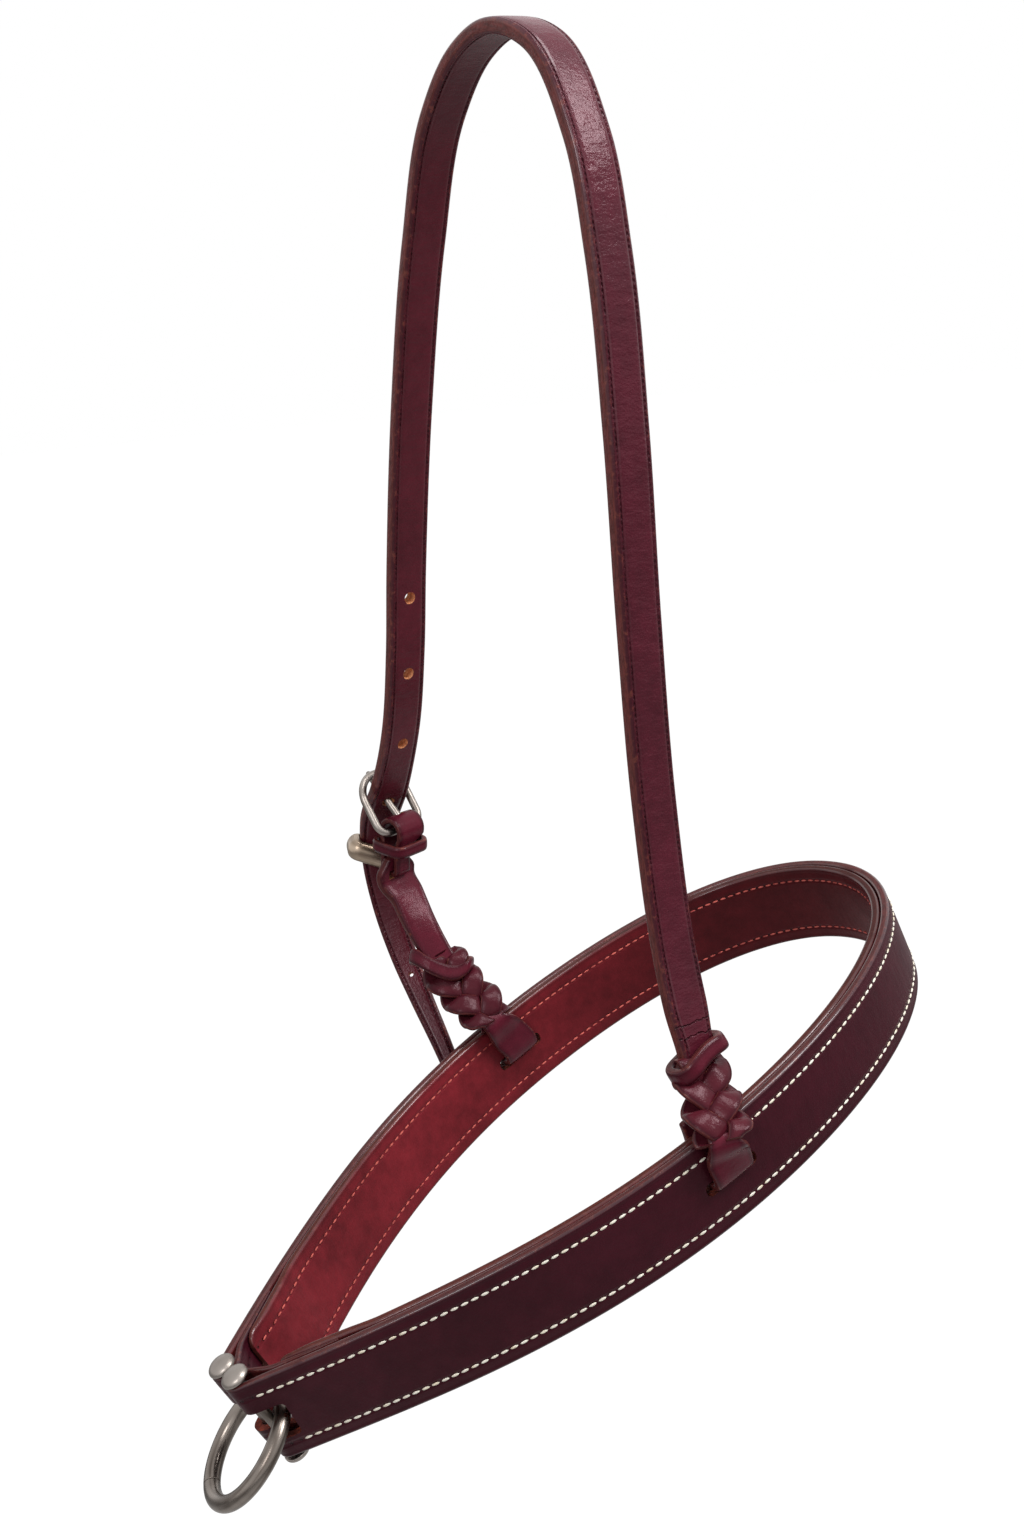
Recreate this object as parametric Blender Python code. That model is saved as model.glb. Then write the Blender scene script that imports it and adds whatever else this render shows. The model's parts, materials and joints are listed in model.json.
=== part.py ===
"""Leather noseband with a crown strap, plaited knots, a buckle and a hanging ring.

Lengths are in metres and +Z is up. The crown strap hangs from its apex, whose underside is the
origin, and lies in the plane x = 0. The noseband lies in its own tilted frame, with its ring end
towards -X and its nose towards +X.
"""

import bisect
import math
from dataclasses import dataclass

import bmesh
import bpy
from mathutils import Euler, Matrix, Vector
from mathutils.geometry import interpolate_bezier

SEAT_GAP = 0.0003
EDGE_ROUND = 0.0007
SHARP_ANGLE = math.radians(40)

# Noseband: its place, its leather and the outline of its loop
BAND_CENTRE = (-0.0322, -0.0042, -0.3681)
BAND_TURN = (math.radians(-8.04), math.radians(-18.37), math.radians(1.66))
BAND_WIDTH = 0.0325
PLY_THICKNESS = 0.00325
NOSE_REACH = 0.1745
WIDEST_AT = 0.0557
HALF_SPAN = 0.0736
NOSE_FRONT_PULL = 0.0459
NOSE_SIDE_PULL = 0.0655
CHEEK_FRONT_PULL = 0.0664
CHEEK_REAR_PULL = 0.0655
CHEEK_ANGLE = math.radians(34.5)
BAND_STEP = 0.0075

# Ring end: folds round two screwed posts, and the notch that the ring lies in
POST_REACH = 0.1140
POST_RADIUS = 0.00175
POST_CLEARANCE = 0.00025
FOLD_THICKNESS = 0.0027
END_LEAN = 0.127
LEAN_LENGTH = 0.090
RETURN_LENGTH = 0.034
RETURN_EDGE = 0.0009
RETURN_CLOSE = 0.013
LINING_SETBACK = 0.012
LINING_EDGE = 0.0016
LINING_CORNER = 0.005
LINING_EASE = 0.014
HEAD_RADIUS = 0.0046
HEAD_RISE = 0.0017
HEAD_RIM = 0.0005
SHANK_RADIUS = 0.0009
SHANK_CLEARANCE = 0.0002
SHANK_LENGTH = 0.012
DRIVER_SLOT_WIDTH = 0.0008
DRIVER_SLOT_DEPTH = 0.0007
NOTCH_TOP = 0.0049
NOTCH_BOTTOM = -0.0084
NOTCH_DEPTH = 0.0107
NOTCH_CORNER = 0.0030

# Tie-down ring
RING_RADIUS = 0.01865
RING_WIRE = 0.00276
RING_CENTRE = (-POST_REACH - 0.0085, 0.0035, -0.0095)
RING_NORMAL = (0.427, -0.149, -0.892)
RING_HINGE_SETBACK = 0.0125

# Slots in the noseband, by their distance from the ring end, and the loops through them
NEAR_SLOT_AT = 0.1650
FAR_SLOT_AT = 0.1840
SLOT_LENGTH = 0.0210
SLOT_HEIGHT = 0.0046
SLOT_CORNER = 0.0018
LOOP_THICKNESS = 0.0030
LOOP_CLEARANCE = 0.0008
LOOP_CREST = 0.0040
LOOP_END_WIDTH = 0.0100
LOOP_STEP = 0.0030

# Crown strap, from the near plait over the apex to its tail, as (y, z) places
STRAP_WIDTH = 0.0153
STRAP_THICKNESS = 0.0052
STRAP_STEP = 0.0085
STRAP_PINCH_WIDTH = 0.0128
STRAP_PINCH_LENGTH = 0.018
STRAP_PLACES = (
    (-0.0632, -0.3120), (-0.0558, -0.2826), (-0.0498, -0.2310), (-0.0480, -0.1720),
    (-0.0478, -0.1150), (-0.0450, -0.0640), (-0.0385, -0.0310), (-0.0215, -0.0040),
    (-0.0010, 0.0026), (0.0150, -0.0018), (0.0338, -0.0180), (0.0520, -0.0555),
    (0.0688, -0.1072), (0.0841, -0.1687), (0.0906, -0.1996), (0.0993, -0.2296),
    (0.1133, -0.2570), (0.1245, -0.2730), (0.1276, -0.2890), (0.1248, -0.3075),
    (0.1160, -0.3280), (0.1052, -0.3440), (0.0942, -0.3585), (0.0822, -0.3760),
)
TAIL_TAPER_LENGTH = 0.125
TAIL_END_WIDTH = 0.0064
TAIL_TWIST = math.radians(30)
TAIL_TWIST_START = 0.030
TAIL_TWIST_LENGTH = 0.075
HOLE_RADIUS = 0.00225
TAIL_HOLE_RADIUS = 0.0016
HOLE_PITCH = 0.0298
HOLES_ABOVE = 3
TAIL_HOLE_DROP = 0.0806

# Buckle, seen from its heel bar
HEEL_CENTRE = (0.0008, 0.1081, -0.2725)
BUCKLE_YAW = math.radians(12.5)
FRAME_LEAN = math.radians(30.5)
FRAME_WIRE = 0.0015
FRAME_HALF_WIDTH = 0.0110
FRAME_HEIGHT = 0.0240
FRAME_HEEL_CORNER = 0.0050
FRAME_TOP_CORNER = 0.0100
TONGUE_WIDTH = 0.0028
TONGUE_EYE_THICKNESS = 0.0012
TONGUE_EYE_END = math.radians(440)
TONGUE_OVERHANG = 0.0025
TONGUE_CLEARANCE = 0.0010

# Link of leather between the heel bar and the hanger, and the band round its neck
LINK_LEAN = math.radians(-7)
LINK_DRIFT = -0.0039
LINK_WIDTH = 0.0136
LINK_NECK_WIDTH = 0.0074
LINK_THICKNESS = 0.0024
LINK_LENGTH = 0.0169
LINK_NECK_START = 0.0018
LINK_NECK_LENGTH = 0.0055
LINK_CORNER = 0.0016
LINK_SLOT_WIDTH = 0.0038
NECK_BAND_WIDTH = 0.0047
NECK_BAND_THICKNESS = 0.0018
NECK_BAND_CORNER = 0.0024
NECK_BAND_DROP = 0.0062
NECK_BAND_SLACK = 0.0006

# Hanger: how far its nose stands above its slit, and its places from there to the far plait
HANGER_THICKNESS = 0.0038
HANGER_STEP = 0.0040
HANGER_PLACES = ((-0.0022, 0.1048, -0.2985), (-0.0018, 0.0986, -0.3077), (0.0006, 0.0864, -0.3241))
HANGER_NOSE = 0.0066
HANGER_NOSE_WIDTH = 0.0120
HANGER_FLARE_WIDTH = 0.0185
HANGER_FLARE_LENGTH = 0.0150
HANGER_END_WIDTH = 0.0112
SLIT_WIDTH = 0.0105
SLIT_CLEARANCE = 0.0005

# Metal keeper on the tail
KEEPER_AT_DROP = 0.0290
KEEPER_SLANT = math.radians(25)
KEEPER_WIDTH = 0.0066
KEEPER_THICKNESS = 0.0025
KEEPER_CLEARANCE = 0.0006

# Plaits of three strands, each from its strap's end to its foot over the noseband's top edge. A foot
# has its distance off the band's face, its drift along the band and its rise over the edge.
NEAR_PLAIT_SIDE = (1.0, 0.0, 0.0)
NEAR_PLAIT_FOOT = (0.0050, 0.0005, 0.0011)
FAR_PLAIT_SIDE = (0.85, -0.20, 0.43)
FAR_PLAIT_FOOT = (0.0027, 0.0062, 0.0059)
PLAIT_TURNS = 5 / 6
PLAIT_STANDOFF = 0.0012
STRANDS = 3
STRAND_WIDTH = 0.0059
STRAND_END_WIDTH = 0.0047
STRAND_THICKNESS = 0.0026
STRAND_SWING = 0.0062
STRAND_DEPTH = 0.0026
STRAND_SQUARENESS = 0.6
STRAND_EASE = 0.005
STRAND_LIFT_LENGTH = 0.002
STRAND_RINGS = 30
COLLAR_WIDTH = 0.0058
COLLAR_THICKNESS = 0.0024
COLLAR_CLEARANCE = 0.0009
COLLAR_CORNER = 0.0026
NEAR_COLLAR_LIFT = 0.0022
NEAR_COLLAR_SLANT = math.radians(-12)
FAR_COLLAR_LIFT = 0.0071
FAR_COLLAR_SLANT = math.radians(28)

# Values worked out from those above
BAND_THICKNESS = 2 * PLY_THICKNESS + SEAT_GAP
BAND_FACE = BAND_THICKNESS / 2
FOLD_OUTER = POST_RADIUS + POST_CLEARANCE + FOLD_THICKNESS
FOLD_MIDDLE = FOLD_OUTER - FOLD_THICKNESS / 2
POST_SPREAD = FOLD_OUTER + SEAT_GAP / 2


@dataclass
class Station:
    """One cross-section of a swept piece: where it is, how it faces and how large it is."""

    centre: Vector
    side: Vector
    out: Vector
    width: float
    thickness: float


class Route:
    """A smooth line through space that is read by the distance along it."""

    REACH = 0.0008

    def __init__(self, points):
        self.points = points
        self.distances = [0.0]
        for before, after in zip(points, points[1:]):
            self.distances.append(self.distances[-1] + (after - before).length)

    @property
    def length(self):
        return self.distances[-1]

    def point(self, distance):
        last = len(self.points) - 2
        index = min(max(bisect.bisect_right(self.distances, distance) - 1, 0), last)
        start, end = self.points[index], self.points[index + 1]
        share = (distance - self.distances[index]) / (end - start).length
        return start.lerp(end, share)

    def direction(self, distance):
        return (self.point(distance + self.REACH) - self.point(distance - self.REACH)).normalized()

    def nearest(self, place):
        """The distance along the route at which it passes closest to a place."""
        gaps = [(point - place).length for point in self.points]
        return self.distances[gaps.index(min(gaps))]


def bezier_route(arcs, pieces=60):
    """A route along cubic arcs, each given as start, two handles and end."""
    points = []
    for arc in arcs:
        points += interpolate_bezier(*arc, pieces)[:-1]
    points.append(arcs[-1][-1])
    return Route(points)


def smooth_route(places, pieces=16):
    """A route through chosen places, with its direction at each taken from its neighbours."""
    places = [Vector(place) for place in places]
    slopes = [places[1] - places[0]]
    for before, here, after in zip(places, places[1:], places[2:]):
        back, ahead = here - before, after - here
        slopes.append(back.normalized() * ahead.length + ahead.normalized() * back.length)
    slopes.append(places[-1] - places[-2])
    arcs = []
    for (start, start_slope), (end, end_slope) in zip(zip(places, slopes), zip(places[1:], slopes[1:])):
        reach = (end - start).length / 3
        arcs.append((start, start + start_slope.normalized() * reach,
                     end - end_slope.normalized() * reach, end))
    return bezier_route(arcs, pieces)


def ease(share):
    """A smooth step from 0 to 1."""
    share = min(max(share, 0.0), 1.0)
    return share * share * (3 - 2 * share)


def steps(start, end, size):
    """Evenly spaced values from start to end, about a given size apart."""
    count = max(1, round(abs(end - start) / size))
    return [start + (end - start) * i / count for i in range(count + 1)]


def square_to(direction, vector):
    """The part of a vector that is square to a direction, at unit length."""
    return (vector - direction * vector.dot(direction)).normalized()


def strap_section(station):
    """A flat strap with its long edges rounded over."""
    side, out = station.width / 2, station.thickness / 2
    round_over = min(EDGE_ROUND, station.thickness * 0.3)
    corners = []
    for u, v in ((1, 1), (1, -1), (-1, -1), (-1, 1)):
        near_face = (u * (side - round_over), v * out)
        near_edge = (u * side, v * (out - round_over))
        corners += (near_face, near_edge) if u * v > 0 else (near_edge, near_face)
    return placed(station, corners)


def thong_section(station):
    """A pressed leather strand, full in its middle and thin at its edges."""
    outline = ((-0.5, 0), (-0.36, 0.32), (-0.12, 0.5), (0.12, 0.5), (0.36, 0.32),
               (0.5, 0), (0.36, -0.32), (0.12, -0.5), (-0.12, -0.5), (-0.36, -0.32))
    return placed(station, [(u * station.width, v * station.thickness) for u, v in outline])


def wire_section(station, sides=10):
    """Round wire, or an oval one where the width and the thickness differ."""
    turns = [2 * math.pi * i / sides for i in range(sides)]
    return placed(station, [(math.cos(turn) * station.width / 2, math.sin(turn) * station.thickness / 2)
                            for turn in turns])


def half_round_section(station, sides=6):
    """Half-round wire: flat inside, domed outside."""
    turns = [math.pi * i / sides for i in range(sides + 1)]
    return placed(station, [(math.cos(turn) * station.width / 2,
                             (math.sin(turn) - 0.5) * station.thickness) for turn in turns])


def placed(station, outline):
    return [station.centre + station.side * u + station.out * v for u, v in outline]


def finish(name, colour, roughness, metallic=0.0):
    """A plain material with a colour, a roughness and a metallic value."""
    material = bpy.data.materials.new(name)
    material.use_nodes = True
    shader = material.node_tree.nodes["Principled BSDF"]
    shader.inputs["Base Color"].default_value = (*colour, 1.0)
    shader.inputs["Roughness"].default_value = roughness
    shader.inputs["Metallic"].default_value = metallic
    material.diffuse_color = (*colour, 1.0)
    return material


def add_object(name, shape, material, parent=None, origin=None):
    """An object from a bmesh, whose points are moved to be about the origin that is given."""
    bmesh.ops.recalc_face_normals(shape, faces=shape.faces)
    if origin is not None:
        bmesh.ops.translate(shape, verts=shape.verts, vec=-Vector(origin))
    mesh = bpy.data.meshes.new(name)
    shape.to_mesh(mesh)
    shape.free()
    if material is not None:
        mesh.materials.append(material)
    mesh.shade_smooth()
    mesh.set_sharp_from_angle(angle=SHARP_ANGLE)
    piece = bpy.data.objects.new(name, mesh)
    bpy.context.scene.collection.objects.link(piece)
    piece.parent = parent
    if origin is not None:
        piece.location = origin
    return piece


def swept_shape(stations, section, closed=False):
    """A closed body made by extruding one section from station to station."""
    shape = bmesh.new()
    ring = [shape.verts.new(point) for point in section(stations[0])]
    first_ring = ring
    edges = [shape.edges.new((ring[i - 1], ring[i])) for i in range(len(ring))]
    first_edges = edges
    for station in stations[1:]:
        grown = bmesh.ops.extrude_edge_only(shape, edges=edges)["geom"]
        fresh = {item for item in grown if isinstance(item, bmesh.types.BMVert)}
        edges = [item for item in grown
                 if isinstance(item, bmesh.types.BMEdge) and fresh.issuperset(item.verts)]
        ring = [next(edge.other_vert(vert) for edge in vert.link_edges
                     if edge.other_vert(vert) in fresh) for vert in ring]
        for vert, point in zip(ring, section(station)):
            vert.co = point
    if closed:
        bmesh.ops.bridge_loops(shape, edges=first_edges + edges)
    else:
        shape.faces.new(first_ring)
        shape.faces.new(ring)
    return shape


def turned_shape(outline, turns=20):
    """A closed body turned about Z from an outline of (radius, height) pairs."""
    shape = bmesh.new()
    verts = [shape.verts.new((radius, 0, height)) for radius, height in outline]
    edges = [shape.edges.new(pair) for pair in zip(verts, verts[1:])]
    bmesh.ops.spin(shape, geom=verts + edges, axis=(0, 0, 1), cent=(0, 0, 0),
                   angle=2 * math.pi, steps=turns, use_merge=True)
    bmesh.ops.remove_doubles(shape, verts=shape.verts, dist=1e-6)
    return shape


def box_cutter(name, centre, axes, size, corner, corner_axis, parent=None):
    """A hidden block with the edges along one axis rounded over, for Boolean cuts."""
    shape = bmesh.new()
    bmesh.ops.create_cube(shape, size=1.0)
    bmesh.ops.scale(shape, vec=size, verts=shape.verts)
    if corner:
        along = [edge for edge in shape.edges
                 if abs((edge.verts[0].co - edge.verts[1].co).normalized()[corner_axis]) > 0.9]
        bmesh.ops.bevel(shape, geom=along, offset=corner, offset_type="OFFSET", segments=4,
                        profile=0.5, affect="EDGES", material=-1)
    turn = Matrix(axes).transposed().to_4x4()
    bmesh.ops.transform(shape, matrix=Matrix.Translation(centre) @ turn, verts=shape.verts)
    return as_cutter(add_object(name, shape, None, parent))


def as_cutter(piece):
    piece.hide_render = True
    piece.display_type = "WIRE"
    return piece


def cut(piece, cutter):
    modifier = piece.modifiers.new(cutter.name, "BOOLEAN")
    modifier.operation = "DIFFERENCE"
    modifier.solver = "EXACT"
    modifier.object = cutter


def loop_stations(centre, across, outward, half_across, half_outward, corners, width, thickness,
                  corner_steps=4):
    """Stations round a flat loop with rounded corners, whose strap stands square to its plane.

    The four corners start with the one towards +across and +outward and go round from there.
    """
    along = across.cross(outward).normalized()
    stations = []
    signs = ((1, 1), (-1, 1), (-1, -1), (1, -1))
    for index, ((u, v), corner) in enumerate(zip(signs, corners)):
        middle = (centre + across * (u * (half_across - corner))
                  + outward * (v * (half_outward - corner)))
        for step in range(corner_steps + 1):
            turn = (index + step / corner_steps) * math.pi / 2
            facing = across * math.cos(turn) + outward * math.sin(turn)
            stations.append(Station(middle + facing * corner, along, facing, width, thickness))
    return stations


class Noseband:
    """The two-ply band, its ring end and the places of its slots, all in the band's own frame."""

    def __init__(self, finishes):
        self.finishes = finishes
        self.frame = bpy.data.objects.new("noseband_frame", None)
        self.frame.location = BAND_CENTRE
        self.frame.rotation_euler = BAND_TURN
        bpy.context.scene.collection.objects.link(self.frame)
        self.to_world = Matrix.Translation(BAND_CENTRE) @ Euler(BAND_TURN).to_matrix().to_4x4()
        self.route = self.loop_route()

    @staticmethod
    def loop_route():
        """The middle of the band, from the near ring end round the nose to the far ring end."""
        def half(side):
            away = Vector((-math.sin(CHEEK_ANGLE), side * math.cos(CHEEK_ANGLE), 0))
            back = Vector((math.cos(CHEEK_ANGLE), side * math.sin(CHEEK_ANGLE), 0))
            post = Vector((-POST_REACH, side * POST_SPREAD, 0))
            rear = post + away * (FOLD_OUTER - BAND_FACE)
            widest = Vector((WIDEST_AT, side * HALF_SPAN, 0))
            nose = Vector((NOSE_REACH, 0, 0))
            cheek = (rear, rear + back * CHEEK_REAR_PULL,
                     widest - Vector((CHEEK_FRONT_PULL, 0, 0)), widest)
            front = (widest, widest + Vector((NOSE_SIDE_PULL, 0, 0)),
                     nose + Vector((0, side * NOSE_FRONT_PULL, 0)), nose)
            return cheek, front

        near_cheek, near_front = half(-1)
        far_cheek, far_front = half(1)
        return bezier_route([near_cheek, near_front, far_front[::-1], far_cheek[::-1]])

    def from_end(self, distance):
        """How far a place along the loop is from the nearer ring end."""
        return min(distance, self.route.length - distance)

    def height_axis(self, distance):
        """Up the band's width: upright, but leaning out at the ring end."""
        lean = END_LEAN * ease(1 - self.from_end(distance) / LEAN_LENGTH)
        return Vector((-lean, 0, 1))

    def outward(self, distance):
        direction = self.route.direction(distance)
        return Vector((direction.y, -direction.x, 0))

    def station(self, distance, offset, thickness, width=BAND_WIDTH):
        """A cross-section at a distance along the loop and an offset out of its middle."""
        out = self.outward(distance)
        centre = self.route.point(distance) + out * offset
        return Station(centre, self.height_axis(distance), out, width, thickness)

    @staticmethod
    def return_thickness(reach):
        """Thickness of the folded-back run, skived down to its tip."""
        share = reach / RETURN_LENGTH
        return FOLD_THICKNESS + (RETURN_EDGE - FOLD_THICKNESS) * share

    def return_offset(self, reach):
        """Middle of the folded-back run: off the post, then flat against the outer ply."""
        at_post = BAND_FACE - FOLD_OUTER - FOLD_MIDDLE
        closed = BAND_FACE - PLY_THICKNESS - SEAT_GAP - self.return_thickness(reach) / 2
        return at_post + (closed - at_post) * ease(reach / RETURN_CLOSE)

    def fold(self, end):
        """The folded end of the outer ply: its run back, then the bend round its post."""
        def at(reach):
            return reach if end < 0 else self.route.length - reach

        run = []
        for reach in steps(RETURN_LENGTH, 0.0, 0.0034)[:-1]:
            run.append(self.station(at(reach), self.return_offset(reach), self.return_thickness(reach)))
        away = self.outward(at(0.0))
        tip = Vector((-math.cos(CHEEK_ANGLE), -end * math.sin(CHEEK_ANGLE), 0))
        post = Vector((-POST_REACH, end * POST_SPREAD, 0))
        bend = []
        for turn in steps(0, math.pi, math.pi / 9):
            facing = tip * math.sin(turn) - away * math.cos(turn)
            bend.append(Station(post + facing * FOLD_MIDDLE, self.height_axis(at(0.0)), facing,
                                BAND_WIDTH, FOLD_THICKNESS))
        return run, bend[:-1]

    def make_outer_ply(self):
        near_run, near_bend = self.fold(-1)
        far_run, far_bend = self.fold(1)
        for station in near_run + far_run:
            station.out = -station.out
        body = []
        for distance in steps(0.0, self.route.length, BAND_STEP):
            grow = ease(self.from_end(distance) / RETURN_CLOSE)
            thickness = FOLD_THICKNESS + (PLY_THICKNESS - FOLD_THICKNESS) * grow
            body.append(self.station(distance, BAND_FACE - thickness / 2, thickness))
        stations = near_run + near_bend + body + far_bend[::-1] + far_run[::-1]
        shape = swept_shape(stations, strap_section)
        self.outer_ply = add_object("band_outer_ply", shape, self.finishes["band"], self.frame)

    def make_lining(self):
        """The inner ply, which rides over the folded-back runs and stops short of the posts."""
        length = self.route.length
        corner = [LINING_SETBACK + LINING_CORNER * share for share in (0.0, 0.12, 0.35, 0.65)]
        middle = steps(LINING_SETBACK + LINING_CORNER, length - LINING_SETBACK - LINING_CORNER,
                       BAND_STEP * 0.9)
        distances = corner + middle + [length - distance for distance in reversed(corner)]
        stations = []
        for distance in distances:
            reach = self.from_end(distance)
            past_end = reach - LINING_SETBACK
            thickness = LINING_EDGE + (PLY_THICKNESS - LINING_EDGE) * ease(past_end / LINING_EASE)
            under = BAND_FACE - PLY_THICKNESS - SEAT_GAP
            if reach < RETURN_LENGTH:
                run = self.return_thickness(reach)
                face = min(under, self.return_offset(reach) - run / 2) - SEAT_GAP
            else:
                face = under - (RETURN_EDGE + SEAT_GAP) * ease(1 - (reach - RETURN_LENGTH) / LINING_EASE)
            cut_back = LINING_CORNER - min(past_end, LINING_CORNER)
            width = BAND_WIDTH - 2 * (LINING_CORNER - math.sqrt(LINING_CORNER ** 2 - cut_back ** 2))
            stations.append(self.station(distance, face - thickness / 2, thickness, width))
        shape = swept_shape(stations, strap_section)
        self.lining = add_object("band_lining", shape, self.finishes["lining"], self.frame)

    def cut_notch(self):
        """The notch across both folds, in which the ring lies behind the posts."""
        front = -POST_REACH - 2 * FOLD_OUTER
        rear = -POST_REACH + NOTCH_DEPTH
        centre = ((front + rear) / 2, 0, (NOTCH_TOP + NOTCH_BOTTOM) / 2)
        size = (rear - front, 8 * POST_SPREAD, NOTCH_TOP - NOTCH_BOTTOM)
        notch = box_cutter("notch_cutter", centre, Matrix.Identity(3), size, NOTCH_CORNER, 1, self.frame)
        cut(self.outer_ply, notch)

    def slot_seat(self, distance):
        """World places at a slot: its centre, and the ways out, up and along the band."""
        turn = self.to_world.to_3x3()
        centre = self.to_world @ self.route.point(distance)
        return (centre, turn @ self.outward(distance), turn @ Vector((0, 0, 1)),
                turn @ self.route.direction(distance))

    def cut_slot(self, name, distance):
        out = self.outward(distance)
        along = self.route.direction(distance)
        axes = (along, out, Vector((0, 0, 1)))
        size = (SLOT_LENGTH, 4 * BAND_THICKNESS, SLOT_HEIGHT)
        slot = box_cutter(name, self.route.point(distance), axes, size, SLOT_CORNER, 1, self.frame)
        cut(self.outer_ply, slot)
        cut(self.lining, slot)

    def make_post(self, name, end):
        """A screwed post: a domed tube above and a domed screw below, leaning with the band's end."""
        axis = Vector((-END_LEAN, 0, 1)).normalized()
        place = Vector((-POST_REACH, end * POST_SPREAD, 0))
        turn = axis.to_track_quat("Z", "Y").to_euler()
        seat = BAND_WIDTH / 2 / axis.z + HEAD_RADIUS * END_LEAN + SEAT_GAP
        dome = [(HEAD_RADIUS * math.cos(rise), seat + HEAD_RIM + HEAD_RISE * math.sin(rise))
                for rise in steps(math.pi / 2, 0, math.pi / 10)]
        dome[0] = (0, dome[0][1])
        bore = SHANK_RADIUS + SHANK_CLEARANCE
        shank_top = SHANK_LENGTH - seat
        tube = dome + [(HEAD_RADIUS, seat), (POST_RADIUS, seat), (POST_RADIUS, SEAT_GAP - seat),
                       (bore, SEAT_GAP - seat), (bore, shank_top + SEAT_GAP), (0, shank_top + SEAT_GAP)]
        screw = [(radius, -height) for radius, height in dome]
        screw += [(HEAD_RADIUS, -seat), (SHANK_RADIUS, -seat), (SHANK_RADIUS, shank_top), (0, shank_top)]
        for part, outline in (("post", tube), ("screw", screw)):
            piece = add_object(f"{name}_pin_{part}", turned_shape(outline), self.finishes["steel"], self.frame)
            piece.location = place
            piece.rotation_euler = turn
        slot_size = (3 * HEAD_RADIUS, DRIVER_SLOT_WIDTH, 2 * DRIVER_SLOT_DEPTH)
        slot = box_cutter(f"{name}_driver_slot", (0, 0, -seat - HEAD_RIM - HEAD_RISE), Matrix.Identity(3),
                          slot_size, 0, 1, self.frame)
        slot.location = place
        slot.rotation_euler = turn
        cut(piece, slot)

    def make_ring(self):
        """The loose ring, with its origin on the line that it swings about."""
        normal = Vector(RING_NORMAL).normalized()
        rearward = square_to(normal, Vector((1, 0, 0)))
        across = normal.cross(rearward)
        wire = []
        for turn in steps(0, 2 * math.pi, math.pi / 18)[:-1]:
            facing = rearward * math.cos(turn) + across * math.sin(turn)
            centre = Vector(RING_CENTRE) + facing * RING_RADIUS
            wire.append(Station(centre, normal, facing, 2 * RING_WIRE, 2 * RING_WIRE))
        hinge = Vector(RING_CENTRE) + rearward * RING_HINGE_SETBACK
        add_object("tie_down_ring", swept_shape(wire, wire_section, closed=True),
                   self.finishes["steel"], self.frame, hinge)

    def make(self):
        self.make_outer_ply()
        self.make_lining()
        self.cut_notch()
        self.cut_slot("near_slot_cutter", NEAR_SLOT_AT)
        self.cut_slot("far_slot_cutter", self.route.length - FAR_SLOT_AT)
        self.make_post("near", -1)
        self.make_post("far", 1)
        self.make_ring()


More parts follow.
